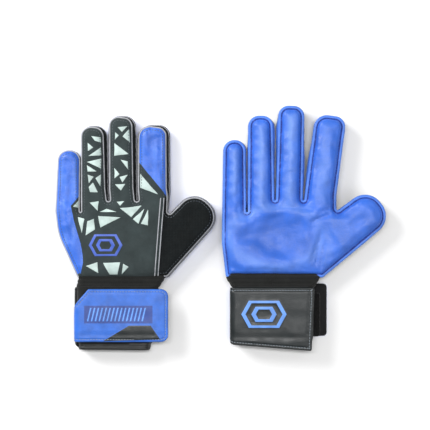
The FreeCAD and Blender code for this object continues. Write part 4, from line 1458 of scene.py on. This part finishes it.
BACK_SHAPES += [
    # index finger: latex above a slanting seam, with a light wedge below it
    ("latex_blue", 0.0, "hand", ((24.8, 137), (60.8, 92.3), (66.5, 92.3), (90, 140), (90, 230), (24.8, 230))),
    ("print_white", RAISED, "hand", ((30.2, 119.0), (49.4, 96.0), (30.2, 103.5))),
]
for shape in badge((-7.6, 40.0), 18.5, 12.0, "print_blue", "knit_charcoal"):
    BACK_SHAPES.append((*shape[:2], "hand", shape[2]))
BACK_SHAPES += [
    # the black side between the trim and the thumb, and the light wedge at the little finger's root
    ("thumb_black", 0.0, "hand", ((57.4, 93.0), (50.8, 5.6), (80.0, 5.6), (80.0, 93.0))),
    ("print_white", 0.3, "hand", ((-43.8, 82.6), (-35.2, 92.6), (-34.6, 80.2))),
]


# ---------------------------------------------------------------------------------------------- build it all
for side in ("left", "right"):
    Glove(side).build()


def area_light(name, place, target, size, power):
    data = bpy.data.lights.new(name, "AREA")
    data.shape, data.size, data.size_y, data.energy = "RECTANGLE", size[0], size[1], power
    ob = bpy.data.objects.new(name, data)
    ob.location = place
    ob.rotation_euler = (Vector(target) - Vector(place)).to_track_quat("-Z", "Y").to_euler()
    bpy.context.scene.collection.objects.link(ob)


def surroundings():
    scene = bpy.context.scene
    bpy.ops.mesh.primitive_plane_add(size=6.0, location=(0, 0, -0.0006))
    floor = bpy.context.object
    floor.name = "floor"
    paper = Stuff("floor_paper")
    tone = paper.mottle(paper.noise(400), (0.9, 0.9, 0.9, 1), (0.93, 0.93, 0.93, 1))
    rough = paper.vary(paper.noise(40), 0.8, 0.9)
    floor.data.materials.append(paper.finish(tone, rough, [(paper.noise(1.0), 0.02)]))
    world = bpy.data.worlds.new("studio")
    scene.world = world
    world.use_nodes = True
    colour, strength = world.node_tree.nodes["Background"].inputs[:2]
    colour.default_value, strength.default_value = (1.0, 1.0, 1.0, 1.0), 0.4
    area_light("key", (-1.0, 0.75, 0.85), (0, 0, 0), (0.7, 0.7), 21)
    area_light("fill", (1.1, -0.6, 1.4), (0, 0, 0), (1.0, 1.0), 5)
    area_light("strip", (0.0, 0.34, 2.8), (0, 0, 0), (1.6, 0.3), 36)
    scene.view_settings.view_transform = "Standard"
    camera = bpy.data.cameras.new("camera")
    camera.sensor_width = SENSOR
    camera.lens = SENSOR * (CAMERA_RISE - 0.015) / CAMERA_WIDE
    camera.clip_end = 20.0
    ob = bpy.data.objects.new("camera", camera)
    ob.location = (-0.0074, 0.0143, CAMERA_RISE)
    scene.collection.objects.link(ob)
    scene.camera = ob


surroundings()
